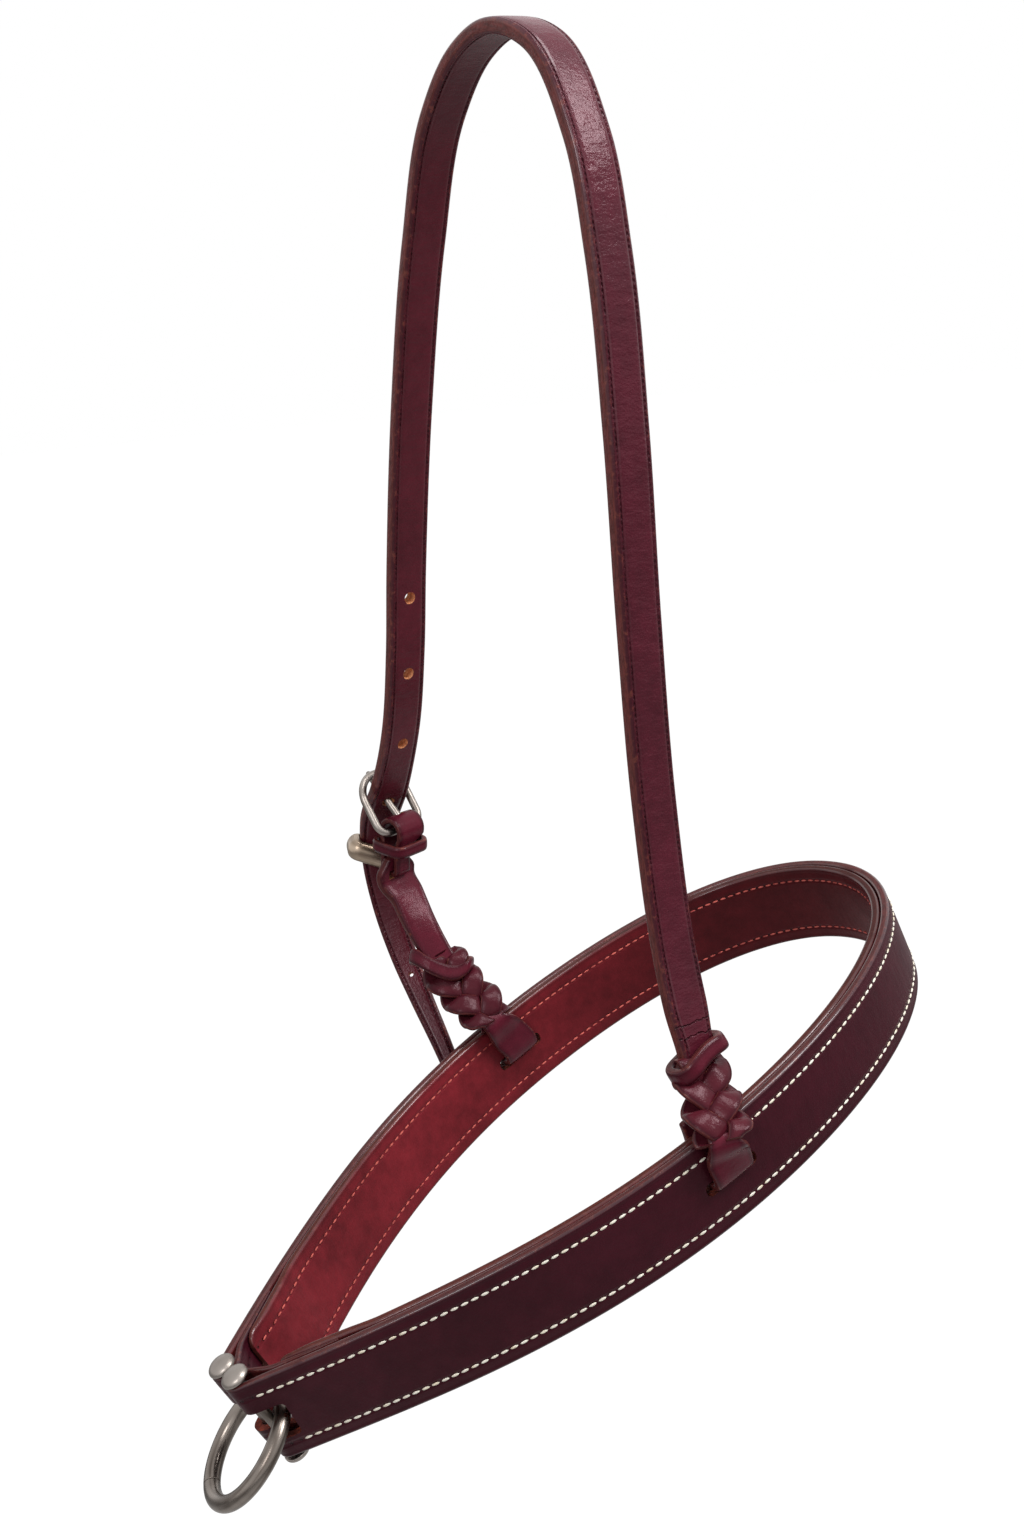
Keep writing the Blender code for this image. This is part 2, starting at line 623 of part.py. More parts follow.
class Plait:
    """Three strands plaited from a strap's end, the collar over their roots and the slot loop."""

    def __init__(self, name, strap_end, strap_direction, foot, top_side, hand, face, seat, material):
        self.name = name
        self.hand = hand
        self.face = face
        top = strap_end + strap_direction * PLAIT_STANDOFF
        away, drift, rise = foot
        centre, out, up, along = seat
        self.foot = (centre + out * (face * (BAND_FACE + away)) + along * drift
                     + up * (BAND_WIDTH / 2 + rise))
        chord = self.foot - top
        self.route = bezier_route([(top, top + strap_direction * (chord.length / 3),
                                    self.foot - chord / 3, self.foot)])
        self.length = self.route.length
        self.seat = seat
        self.material = material
        self.top_side = top_side
        self.band_side = seat[3] if seat[3].x > 0 else -seat[3]

    def axes(self, reach):
        """Ways along, across and out of the plait at a distance down it."""
        along = self.route.direction(reach)
        side = square_to(along, self.top_side.lerp(self.band_side, reach / self.length))
        return along, side, side.cross(along)

    def strand_centre(self, strand, reach):
        """Middle of one strand: it swings from edge to edge and passes over and under its fellows."""
        phase = 2 * math.pi * (reach / self.length * PLAIT_TURNS + strand / STRANDS)
        wave = math.sin(2 * phase)
        depth = math.copysign(abs(wave) ** STRAND_SQUARENESS, wave) * STRAND_DEPTH
        depth *= ease(min(reach, self.length - reach) / STRAND_LIFT_LENGTH)
        _, side, out = self.axes(reach)
        swing = self.hand * math.sin(phase) * STRAND_SWING
        return self.route.point(reach) + side * swing + out * depth

    def make_strands(self):
        for strand in range(STRANDS):
            stations = []
            for reach in steps(SEAT_GAP, self.length - 2 * SEAT_GAP, self.length / STRAND_RINGS):
                centre = self.strand_centre(strand, reach)
                nudge = self.length / STRAND_RINGS / 2
                travel = (self.strand_centre(strand, reach + nudge)
                          - self.strand_centre(strand, reach - nudge)).normalized()
                from_end = ease(min(reach, self.length - reach) / STRAND_EASE)
                along, _, out = self.axes(reach)
                travel = along.lerp(travel, from_end).normalized()
                out = square_to(travel, out)
                width = STRAND_END_WIDTH + (STRAND_WIDTH - STRAND_END_WIDTH) * from_end
                stations.append(Station(centre, travel.cross(out), out, width, STRAND_THICKNESS))
            add_object(f"{self.name}_plait_strand_{strand + 1}", swept_shape(stations, thong_section),
                       self.material)

    def make_collar(self, strap_width, lift, slant):
        """The flat turn of leather round the strap's end, which covers the roots of the strands."""
        along, level, outward = self.axes(0.0)
        across = level * math.cos(slant) + along * math.sin(slant)
        centre = self.route.point(0.0) - along * lift
        spare = COLLAR_CLEARANCE + COLLAR_THICKNESS / 2
        half_across = (strap_width / 2 / math.cos(slant) + spare
                       + COLLAR_WIDTH / 2 * math.tan(abs(slant)))
        half_outward = STRAND_DEPTH + STRAND_THICKNESS / 2 + spare
        stations = loop_stations(centre, across, outward, half_across, half_outward,
                                 [COLLAR_CORNER] * 4, COLLAR_WIDTH, COLLAR_THICKNESS)
        add_object(f"{self.name}_plait_collar", swept_shape(stations, strap_section, closed=True),
                   self.material)

    def make_slot_loop(self):
        """The loop from the plait's foot down one face, through the slot and up the other face."""
        centre, out, up, along = self.seat
        foot, face = self.foot - centre, self.face
        foot_out, foot_height, foot_drift = face * foot.dot(out), foot.dot(up), foot.dot(along)
        plait_end, foot_side, _ = self.axes(self.length)
        lead_out, lead_up = face * plait_end.dot(out), plait_end.dot(up)
        bend = LOOP_THICKNESS / 2 + LOOP_CLEARANCE
        slant = bend * math.sqrt(0.5)
        hug = BAND_FACE + bend
        edge = SLOT_HEIGHT / 2
        crest = BAND_WIDTH / 2 + LOOP_CREST
        lead = LOOP_THICKNESS * 0.8
        lead_away = foot_out + lead_out * lead
        lead_drift = foot_drift + plait_end.dot(along) * lead
        places = [(foot_out + lead_out * SEAT_GAP, foot_drift, foot_height + lead_up * SEAT_GAP),
                  (lead_away, lead_drift, foot_height + lead_up * lead),
                  (hug + (lead_away - hug) * 0.4, lead_drift * 0.4, foot_height * 0.5), (hug, 0, edge),
                  (BAND_FACE + slant, 0, edge - slant), (BAND_FACE, 0, edge - bend),
                  (0, 0, edge - bend), (-BAND_FACE, 0, edge - bend),
                  (-BAND_FACE - slant, 0, edge - slant), (-hug, 0, edge),
                  (-hug, 0, foot_height * 0.5), (-hug, 0, crest)]
        route = smooth_route([(face * away, drift, height) for away, drift, height in places])
        stations = []
        for distance in steps(0, route.length, LOOP_STEP):
            point, travel = route.point(distance), route.direction(distance)
            rise, width = 0.0, STRAP_WIDTH
            if distance < route.length / 2:
                rise = ease((point.z - edge) / (foot_height - edge))
            else:
                width += (LOOP_END_WIDTH - width) * ease(point.z / crest)
            middle = centre + out * point.x + along * point.y + up * point.z
            travel = out * travel.x + along * travel.y + up * travel.z
            side = square_to(travel, self.band_side.lerp(foot_side, rise))
            stations.append(Station(middle, side, travel.cross(side), width, LOOP_THICKNESS))
        add_object(f"{self.name}_slot_loop", swept_shape(stations, strap_section), self.material)


class CrownStrap:
    """The strap over the crown, from the near plait to its tapered, twisted tail."""

    def __init__(self, finishes, buckle):
        self.finishes = finishes
        self.buckle = buckle
        self.route = smooth_route([(0, y, z) for y, z in STRAP_PLACES])
        self.tongue_at = self.route.nearest(buckle.tongue_middle())

    def side(self, distance):
        """Across the strap: level over the crown, turning outward along the tail."""
        start = self.tongue_at - TAIL_TWIST_START
        turn = TAIL_TWIST * ease((distance - start) / TAIL_TWIST_LENGTH)
        return Matrix.Rotation(turn, 3, self.route.direction(distance)) @ Vector((-1, 0, 0))

    def facing(self, distance):
        """Away from the horse's head, square to the strap."""
        return self.route.direction(distance).cross(self.side(distance))

    def width_at(self, distance):
        tail = max(0.0, 1 - (self.route.length - distance) / TAIL_TAPER_LENGTH)
        pinch = ease(1 - distance / STRAP_PINCH_LENGTH)
        return (STRAP_WIDTH + (TAIL_END_WIDTH - STRAP_WIDTH) * tail
                + (STRAP_PINCH_WIDTH - STRAP_WIDTH) * pinch)

    def make(self):
        tip = self.route.length
        rounding = TAIL_END_WIDTH / 2
        stations = []
        ends = [tip - rounding * (1 - share) for share in (0.4, 0.75, 0.95)]
        for distance in steps(0, tip - rounding, STRAP_STEP) + ends:
            into_tip = max(0.0, distance - (tip - rounding)) / rounding
            width = self.width_at(distance) * math.sqrt(1 - into_tip ** 2)
            stations.append(Station(self.route.point(distance), self.side(distance),
                                    self.facing(distance), width, STRAP_THICKNESS))
        self.strap = add_object("crown_strap", swept_shape(stations, strap_section), self.finishes["crown"])
        for index in range(HOLES_ABOVE):
            self.punch(f"hole_punch_{index + 1}", -(index + 1) * HOLE_PITCH, HOLE_RADIUS)
        self.punch("tail_hole_punch", TAIL_HOLE_DROP, TAIL_HOLE_RADIUS)
        cut(self.strap, self.buckle.tongue_path())

    def punch(self, name, drop, radius):
        """One adjusting hole, so far down the tail from the one that the tongue is in."""
        distance = self.tongue_at + drop
        facing, side = self.facing(distance), self.side(distance)
        centre = self.route.point(distance)
        stations = [Station(centre + facing * reach, side, facing.cross(side),
                            2 * radius, 2 * radius)
                    for reach in (-STRAP_THICKNESS, STRAP_THICKNESS)]
        shape = swept_shape(stations, wire_section)
        cut(self.strap, as_cutter(add_object(name, shape, None)))

    def make_keeper(self):
        """The half-round metal keeper that hangs askew on the tail."""
        distance = self.tongue_at + KEEPER_AT_DROP
        facing = self.facing(distance)
        across = (self.side(distance) * math.cos(KEEPER_SLANT)
                  - self.route.direction(distance) * math.sin(KEEPER_SLANT))
        spare = KEEPER_CLEARANCE + KEEPER_THICKNESS / 2
        half_across = (self.width_at(distance) / 2 / math.cos(KEEPER_SLANT) + spare
                       + KEEPER_WIDTH / 2 * math.tan(KEEPER_SLANT))
        half_outward = STRAP_THICKNESS / 2 + spare + KEEPER_CLEARANCE
        centre = self.route.point(distance)
        stations = loop_stations(centre, across, facing, half_across, half_outward,
                                 [spare + EDGE_ROUND] * 4, KEEPER_WIDTH, KEEPER_THICKNESS)
        shape = swept_shape(stations, half_round_section, closed=True)
        add_object("tail_keeper", shape, self.finishes["keeper"], origin=centre)


class Buckle:
    """The wire frame, its tongue, the link round its heel bar and the band round the link's neck."""

    def __init__(self, finishes):
        self.finishes = finishes
        self.heel = Vector(HEEL_CENTRE)
        self.bar = Vector((math.cos(BUCKLE_YAW), math.sin(BUCKLE_YAW), 0))
        self.up = self.leaning(FRAME_LEAN)
        self.out = self.up.cross(self.bar)
        self.down = -self.leaning(LINK_LEAN)
        self.link_out = self.bar.cross(self.down)
        self.eye = self.heel + self.down * LINK_LENGTH + self.bar * LINK_DRIFT
        self.tongue_eye = FRAME_WIRE + SEAT_GAP + TONGUE_EYE_THICKNESS / 2
        self.roll = self.tongue_eye + TONGUE_EYE_THICKNESS / 2 + 2 * SEAT_GAP + LINK_THICKNESS / 2
        self.leg = HANGER_THICKNESS / 2 + SLIT_CLEARANCE + LINK_THICKNESS / 2

    def leaning(self, lean):
        """Up, leaning outward by an angle in the plane square to the heel bar."""
        outward = Vector((-math.sin(BUCKLE_YAW), math.cos(BUCKLE_YAW), 0))
        return outward * math.sin(lean) + Vector((0, 0, math.cos(lean)))

    def make_frame(self):
        centre = self.heel + self.up * (FRAME_HEIGHT / 2)
        corners = [FRAME_TOP_CORNER, FRAME_TOP_CORNER, FRAME_HEEL_CORNER, FRAME_HEEL_CORNER]
        stations = loop_stations(centre, self.bar, self.up, FRAME_HALF_WIDTH, FRAME_HEIGHT / 2,
                                 corners, 2 * FRAME_WIRE, 2 * FRAME_WIRE, corner_steps=5)
        shape = swept_shape(stations, wire_section, closed=True)
        add_object("buckle_frame", shape, self.finishes["steel"], origin=self.heel)

    def tongue_arm(self):
        """Start and end of the tongue's arm: off the heel bar's inner side, over the top bar."""
        rest = FRAME_WIRE + SEAT_GAP + TONGUE_WIDTH / 2
        start = self.heel - self.out * self.tongue_eye
        over_bar = self.heel + self.up * FRAME_HEIGHT + self.out * rest
        return start, over_bar + (over_bar - start).normalized() * TONGUE_OVERHANG

    def tongue_middle(self):
        start, tip = self.tongue_arm()
        return start.lerp(tip, 0.5)

    def make_tongue(self):
        """The tongue: a flat eye round the heel bar, then a straight round arm."""
        start, tip = self.tongue_arm()
        stations = []
        for turn in steps(TONGUE_EYE_END, math.pi, math.radians(26))[:-1]:
            facing = self.out * math.cos(turn) + self.up * math.sin(turn)
            stations.append(Station(self.heel + facing * self.tongue_eye, self.bar, facing,
                                    TONGUE_WIDTH, TONGUE_EYE_THICKNESS))
        stations.append(Station(start, self.bar, -self.out, TONGUE_WIDTH, TONGUE_EYE_THICKNESS))
        facing = (tip - start).cross(self.bar).normalized() * -1
        for share, size in ((0.22, 1.0), (0.5, 1.0), (0.75, 1.0), (0.94, 0.9), (1.0, 0.6)):
            stations.append(Station(start.lerp(tip, share), self.bar, facing,
                                    TONGUE_WIDTH * size, TONGUE_WIDTH * size))
        shape = swept_shape(stations, wire_section)
        add_object("buckle_tongue", shape, self.finishes["steel"], origin=self.heel)

    def tongue_path(self):
        """The space that the tongue's arm needs through the strap, with room to swing."""
        start, tip = self.tongue_arm()
        width = TONGUE_WIDTH + 2 * TONGUE_CLEARANCE
        facing = (tip - start).cross(self.bar).normalized()
        shape = swept_shape([Station(end, self.bar, facing, width, width) for end in (start, tip)],
                            wire_section)
        return as_cutter(add_object("tongue_path_cutter", shape, None))

    def leg_away(self, drop):
        """How far a leg of the link stands off its middle plane at a drop below the heel bar."""
        return self.roll + (self.leg - self.roll) * ease(2 * drop / LINK_LENGTH)

    def link_station(self, drop, away):
        """Centre and width of the link at a drop: below the roll it narrows and drifts sideways."""
        neck = ease((drop - LINK_NECK_START) / LINK_NECK_LENGTH)
        centre = self.heel + self.down * drop + self.link_out * away + self.bar * (LINK_DRIFT * neck)
        return centre, LINK_WIDTH + (LINK_NECK_WIDTH - LINK_WIDTH) * neck

    def make_link(self):
        """The closed loop of leather round the heel bar and through the hanger's slit."""
        places = []
        for turn in steps(0, math.pi, math.pi / 8):
            places.append((-math.sin(turn) * self.roll, math.cos(turn) * self.roll,
                           -math.sin(turn), math.cos(turn)))
        drops = steps(0, LINK_LENGTH, LINK_LENGTH / 7)[1:-1]
        legs = [(drop, self.leg_away(drop)) for drop in drops]
        places += [(drop, -away, 0, -1) for drop, away in legs]
        corner_drop, corner_away = LINK_LENGTH - LINK_CORNER, self.leg - LINK_CORNER
        for side in (-1, 1):
            turns = steps(0, math.pi / 2, math.pi / 8)
            for turn in turns if side < 0 else turns[::-1]:
                fall, away = math.sin(turn), side * math.cos(turn)
                places.append((corner_drop + fall * LINK_CORNER,
                               side * corner_away + away * LINK_CORNER, fall, away))
        places += [(drop, away, 0, 1) for drop, away in reversed(legs)]
        stations = []
        for drop, away, fall, aside in places:
            centre, width = self.link_station(drop, away)
            facing = self.down * fall + self.link_out * aside
            stations.append(Station(centre, self.bar, facing, width, LINK_THICKNESS))
        link = add_object("heel_link", swept_shape(stations, strap_section, closed=True),
                          self.finishes["knot"])
        reach = self.roll + LINK_THICKNESS
        centre = self.heel + self.up * (reach / 2 + FRAME_WIRE) - self.out * (TONGUE_EYE_THICKNESS / 2)
        size = (LINK_SLOT_WIDTH, 2 * self.tongue_eye, reach)
        cut(link, box_cutter("tongue_slot_cutter", centre, (self.bar, self.out, self.up), size, 0, 1))

    def make_neck_band(self):
        """The loose band of leather round the link's neck."""
        spare = SEAT_GAP + NECK_BAND_THICKNESS / 2
        top = NECK_BAND_DROP - NECK_BAND_WIDTH / 2
        middle, link_width = self.link_station(top, 0.0)
        half_outward = self.leg_away(top) + LINK_THICKNESS / 2 + spare + NECK_BAND_SLACK
        half_across = link_width / 2 + spare + NECK_BAND_SLACK
        centre = middle + self.down * (NECK_BAND_WIDTH / 2)
        stations = loop_stations(centre, self.bar, self.link_out, half_across, half_outward,
                                 [NECK_BAND_CORNER] * 4, NECK_BAND_WIDTH, NECK_BAND_THICKNESS)
        add_object("neck_band", swept_shape(stations, strap_section, closed=True), self.finishes["knot"])


class Hanger:
    """The short strap from the buckle's link to the far plait, with the slit that the link is in."""

    def __init__(self, finishes, buckle):
        self.finishes = finishes
        self.buckle = buckle
        nose = buckle.eye - buckle.down * HANGER_NOSE
        below = buckle.eye + buckle.down * (HANGER_NOSE / 3)
        self.route = smooth_route([nose, buckle.eye, below, *HANGER_PLACES])

    def side(self, distance):
        """Across the hanger: along the heel bar at the slit, turning to suit the plait."""
        turn = ease((distance - HANGER_NOSE) / (self.route.length - HANGER_NOSE))
        across = self.buckle.bar.lerp(Vector(FAR_PLAIT_SIDE), turn)
        return square_to(self.route.direction(distance), across)

    def width_at(self, distance):
        flare = ease(1 - abs(distance - HANGER_NOSE) / HANGER_FLARE_LENGTH)
        narrow = ease((distance - HANGER_NOSE) / (self.route.length - HANGER_NOSE))
        width = STRAP_WIDTH + (HANGER_END_WIDTH - STRAP_WIDTH) * narrow
        width += (HANGER_FLARE_WIDTH - STRAP_WIDTH) * flare
        return width + (HANGER_NOSE_WIDTH - HANGER_FLARE_WIDTH) * ease(1 - distance / HANGER_NOSE)

    def make(self):
        stations = []
        for distance in steps(0, self.route.length, HANGER_STEP):
            side = self.side(distance)
            out = self.route.direction(distance).cross(side)
            stations.append(Station(self.route.point(distance), side, out, self.width_at(distance),
                                    HANGER_THICKNESS))
        hanger = add_object("far_hanger", swept_shape(stations, strap_section), self.finishes["knot"])
        link = self.buckle
        size = (SLIT_WIDTH, 4 * HANGER_THICKNESS, LINK_THICKNESS + 2 * SLIT_CLEARANCE)
        cut(hanger, box_cutter("slit_cutter", link.eye, (link.bar, link.link_out, link.down), size,
                               SLIT_CLEARANCE, 1))


def clear_scene():
    for item in list(bpy.data.objects):
        bpy.data.objects.remove(item)


def main():
    clear_scene()
    finishes = {
        "band": finish("band_leather", (0.047, 0.012, 0.018), 0.45),
        "lining": finish("lining_leather", (0.150, 0.016, 0.020), 0.55),
        "crown": finish("crown_leather", (0.080, 0.018, 0.028), 0.42),
        "knot": finish("knot_leather", (0.110, 0.028, 0.038), 0.48),
        "steel": finish("brushed_steel", (0.42, 0.40, 0.37), 0.30, 1.0),
        "keeper": finish("keeper_nickel", (0.52, 0.46, 0.38), 0.25, 1.0),
    }
    band = Noseband(finishes)
    band.make()

    buckle = Buckle(finishes)
    buckle.make_frame()
    buckle.make_tongue()
    buckle.make_link()
    buckle.make_neck_band()
    hanger = Hanger(finishes, buckle)
    hanger.make()
    strap = CrownStrap(finishes, buckle)
    strap.make()
    strap.make_keeper()

    near = Plait("near", strap.route.point(0), -strap.route.direction(0), NEAR_PLAIT_FOOT,
                 Vector(NEAR_PLAIT_SIDE), -1, 1, band.slot_seat(NEAR_SLOT_AT), finishes["knot"])
    near.make_strands()
    near.make_collar(STRAP_PINCH_WIDTH, NEAR_COLLAR_LIFT, NEAR_COLLAR_SLANT)
    near.make_slot_loop()
    end = hanger.route.length
    far = Plait("far", hanger.route.point(end), hanger.route.direction(end), FAR_PLAIT_FOOT,
                Vector(FAR_PLAIT_SIDE), 1, -1, band.slot_seat(band.route.length - FAR_SLOT_AT),
                finishes["knot"])
    far.make_strands()
    far.make_collar(HANGER_END_WIDTH, FAR_COLLAR_LIFT, FAR_COLLAR_SLANT)
    far.make_slot_loop()


main()
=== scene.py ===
import bisect
import enum
import json
import logging
import math
from collections.abc import Iterable, Sequence
from dataclasses import dataclass, field
from typing import Any

import bmesh
import bpy
from mathutils import Euler, Matrix, Vector, noise
from mathutils.geometry import interpolate_bezier

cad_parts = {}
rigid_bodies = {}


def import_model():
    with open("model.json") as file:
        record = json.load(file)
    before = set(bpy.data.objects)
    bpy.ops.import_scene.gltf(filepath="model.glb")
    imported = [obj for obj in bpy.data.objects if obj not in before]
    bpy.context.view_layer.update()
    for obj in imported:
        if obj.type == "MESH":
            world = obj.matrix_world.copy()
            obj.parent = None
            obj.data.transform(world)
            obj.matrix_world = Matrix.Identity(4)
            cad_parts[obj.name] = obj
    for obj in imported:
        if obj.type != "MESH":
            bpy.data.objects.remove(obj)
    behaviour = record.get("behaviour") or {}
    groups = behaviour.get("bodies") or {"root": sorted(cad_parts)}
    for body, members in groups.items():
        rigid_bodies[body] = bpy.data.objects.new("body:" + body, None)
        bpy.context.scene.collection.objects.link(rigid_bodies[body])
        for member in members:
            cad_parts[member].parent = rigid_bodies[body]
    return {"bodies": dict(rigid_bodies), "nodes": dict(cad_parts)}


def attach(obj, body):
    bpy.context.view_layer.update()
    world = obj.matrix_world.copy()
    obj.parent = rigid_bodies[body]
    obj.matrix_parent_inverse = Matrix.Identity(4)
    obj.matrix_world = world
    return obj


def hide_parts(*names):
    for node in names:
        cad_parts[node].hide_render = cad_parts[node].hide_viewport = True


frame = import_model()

LOG = logging.getLogger("noseband")
SEAT_GAP = 0.0003
PLY_THICKNESS = 0.00325
BAND_WIDTH = 0.0325
BAND_FACE = PLY_THICKNESS + SEAT_GAP / 2
STRAP_WIDTH = 0.0153
SHARP_ANGLE = math.radians(42)
STITCH_PITCH = 0.0034
STITCH_ROW = BAND_WIDTH / 2 - 0.0053

WHITE = (1.0, 1.0, 1.0, 1.0)

Pairs = list[tuple[float, float]]
Triple = tuple[float, float, float]


class Slot(enum.Enum):
    """The record's material slots."""

    BAND = "band_leather"
    LINING = "lining_leather"
    CROWN = "crown_leather"
    KNOT = "knot_leather"
    STEEL = "brushed_steel"
    KEEPER = "keeper_nickel"


class Body(enum.Enum):
    """The bodies that the pieces ride on."""

    NOSEBAND = "noseband"
    RING = "ring"
    NEAR_PIN = "near_pin"
    FAR_PIN = "far_pin"
    FRAME = "buckle_frame"
    TONGUE = "buckle_tongue"
    KEEPER = "keeper"


# Node trees


class Signal:
    """A value in a material's node tree, which takes part in Python arithmetic."""

    def __init__(self, graph: "Graph", socket: bpy.types.NodeSocket) -> None:
        """Keep the tree and the output socket that the value comes from."""
        self.graph = graph
        self.socket = socket

    def sibling(self, output: int | str) -> "Signal":
        """Another output of the same node."""
        return Signal(self.graph, self.socket.node.outputs[output])

    def __add__(self, other: "Signal | float") -> "Signal":
        """Add a sum."""
        return self.graph.math("ADD", self, other)

    __radd__ = __add__

    def __sub__(self, other: "Signal | float") -> "Signal":
        """Add a difference."""
        return self.graph.math("SUBTRACT", self, other)

    def __rsub__(self, other: float) -> "Signal":
        """Add a difference from a number."""
        return self.graph.math("SUBTRACT", other, self)

    def __mul__(self, other: "Signal | float") -> "Signal":
        """Add a product."""
        return self.graph.math("MULTIPLY", self, other)

    __rmul__ = __mul__

    def __truediv__(self, other: "Signal | float") -> "Signal":
        """Add a quotient."""
        return self.graph.math("DIVIDE", self, other)

    def __abs__(self) -> "Signal":
        """Add an absolute value."""
        return self.graph.math("ABSOLUTE", self)


class Graph:
    """The node tree of one material or of the world."""

    def __init__(self, owner: bpy.types.Material | bpy.types.World) -> None:
        """Empty the node tree of its owner.

        Args:
            owner: The material or world.
        """
        owner.use_nodes = True
        self.owner = owner
        self.tree = owner.node_tree
        self.tree.nodes.clear()

    @classmethod
    def for_material(cls, name: str) -> "Graph":
        """The empty node tree of a new material."""
        return cls(bpy.data.materials.new(name))

    def add(self, kind: str, settings: dict[str, Any] | None = None,
            inputs: dict[Any, Any] | None = None, output: int | str = 0) -> Signal:
        """Add one node.

        Args:
            kind: The node's type.
            settings: The node's own properties, which are set first.
            inputs: Values or signals for its sockets, by name or place.
            output: The output socket that is wanted.

        Returns:
            The signal from that output.
        """
        node = self.tree.nodes.new(kind)
        for key, value in (settings or {}).items():
            setattr(node, key, value)
        for key, value in (inputs or {}).items():
            if isinstance(value, Signal):
                self.tree.links.new(value.socket, node.inputs[key])
            else:
                node.inputs[key].default_value = value
        return Signal(self, node.outputs[output])

    def math(self, operation: str, *terms: Signal | float) -> Signal:
        """The result of a Math node that works on these terms."""
        return self.add("ShaderNodeMath", {"operation": operation}, dict(enumerate(terms)))

    def place(self) -> Signal:
        """The object coordinates."""
        return self.add("ShaderNodeTexCoord", output="Object")

    def split(self, vector: Signal) -> tuple[Signal, Signal, Signal]:
        """The three parts of a vector."""
        first = self.add("ShaderNodeSeparateXYZ", inputs={0: vector})
        return first, first.sibling(1), first.sibling(2)

    def joined(self, x: Signal | float, y: Signal | float, z: Signal | float = 0.0) -> Signal:
        """A vector from three parts."""
        return self.add("ShaderNodeCombineXYZ", inputs={0: x, 1: y, 2: z})

    def own_map(self, name: str) -> tuple[Signal, Signal]:
        """The two parts of the piece's own map of this name."""
        return self.split(self.add("ShaderNodeUVMap", {"uv_map": name}))[:2]

    def cloud(self, vector: Signal, scale: float, detail: float = 3.0,
              rough: float = 0.55) -> Signal:
        """Soft noise from 0 to 1 at a number of features per unit."""
        return self.add("ShaderNodeTexNoise", inputs={
            "Vector": vector, "Scale": scale, "Detail": detail, "Roughness": rough})

    def cells(self, vector: Signal, scale: float) -> Signal:
        """Distance from the middle of round cells."""
        return self.add("ShaderNodeTexVoronoi", inputs={"Vector": vector, "Scale": scale},
                        output="Distance")

    def rise(self, value: Signal, low: float, high: float) -> Signal:
        """A smooth step from 0 at low to 1 at high."""
        return self.add("ShaderNodeMapRange", {"interpolation_type": "SMOOTHSTEP"},
                        {"Value": value, "From Min": low, "From Max": high})

    def patches(self, vector: Signal, scale: float, low: float, high: float,
                detail: float = 3.0, rough: float = 0.55) -> Signal:
        """Soft noise, spread so that it is 0 up to low and 1 from high."""
        return self.rise(self.cloud(vector, scale, detail, rough), low, high)

    def mixed(self, share: Signal | float, first: Any, second: Any) -> Signal:
        """A colour between two colours."""
        return self.add("ShaderNodeMix", {"data_type": "RGBA"}, {0: share, 6: first, 7: second}, 2)

    def finish(self, colour: Signal, roughness: Signal | float, height: Signal, depth: float,
               coat: Signal | float = 0.0, **constants: Any) -> bpy.types.Material:
        """Join the last signals to a Principled shader.

        Args:
            colour: The base colour.
            roughness: The roughness.
            height: The relief, from 0 to 1.
            depth: How deep a relief of 1 is, in metres.
            coat: How much clear polish lies over the surface.
            **constants: Plain numbers for other sockets, with _ for each space in a name.

        Returns:
            The material.
        """
        normal = self.add("ShaderNodeBump", inputs={
            "Strength": 1.0, "Distance": depth, "Height": height})
        sockets = {key.replace("_", " "): value for key, value in constants.items()}
        shader = self.add("ShaderNodeBsdfPrincipled", inputs={
            "Base Color": colour, "Roughness": roughness, "Normal": normal, "Coat Weight": coat,
            **sockets})
        self.add_output(shader)
        return self.owner

    def add_output(self, shader: Signal, kind: str = "ShaderNodeOutputMaterial") -> None:
        """Join a shader to the owner's output."""
        self.tree.links.new(shader.socket, self.tree.nodes.new(kind).inputs["Surface"])


@dataclass(frozen=True)
class Colour:
    """A colour as a screen shows it, in parts of 255."""

    red: float
    green: float
    blue: float

    def linear(self, gain: float = 1.0) -> tuple[float, float, float, float]:
        """The same colour for a shader, made lighter or darker by a gain.

        Args:
            gain: How much lighter or darker.

        Returns:
            Its four parts.
        """
        parts = [value / 255 for value in (self.red, self.green, self.blue)]
        light = [part / 12.92 if part <= 0.04045 else ((part + 0.055) / 1.055) ** 2.4
                 for part in parts]
        return (*(min(1.0, part * gain) for part in light), 1.0)


class Skin:
    """A leather surface in the making: its maps, its faces, its colour and its relief."""

    colour: Signal
    height: Signal

    def __init__(self, graph: Graph) -> None:
        """Read the piece's maps, and tell its outer and inner faces from its cut edges.

        Args:
            graph: The material's node tree.
        """
        self.graph = graph
        self.place = graph.place()
        self.along, self.across = graph.own_map("strap")
        self.margin, self.level = graph.own_map("border")
        self.outer = graph.rise(self.level, 0.50, 0.78)
        self.inner = graph.rise(self.level * -1.0, 0.50, 0.78)
        self.faces = self.outer + self.inner

    def stain(self, mask: Signal, colour: tuple[float, ...]) -> None:
        """Turn the colour towards another where the mask is high."""
        self.colour = self.graph.mixed(mask, self.colour, colour)


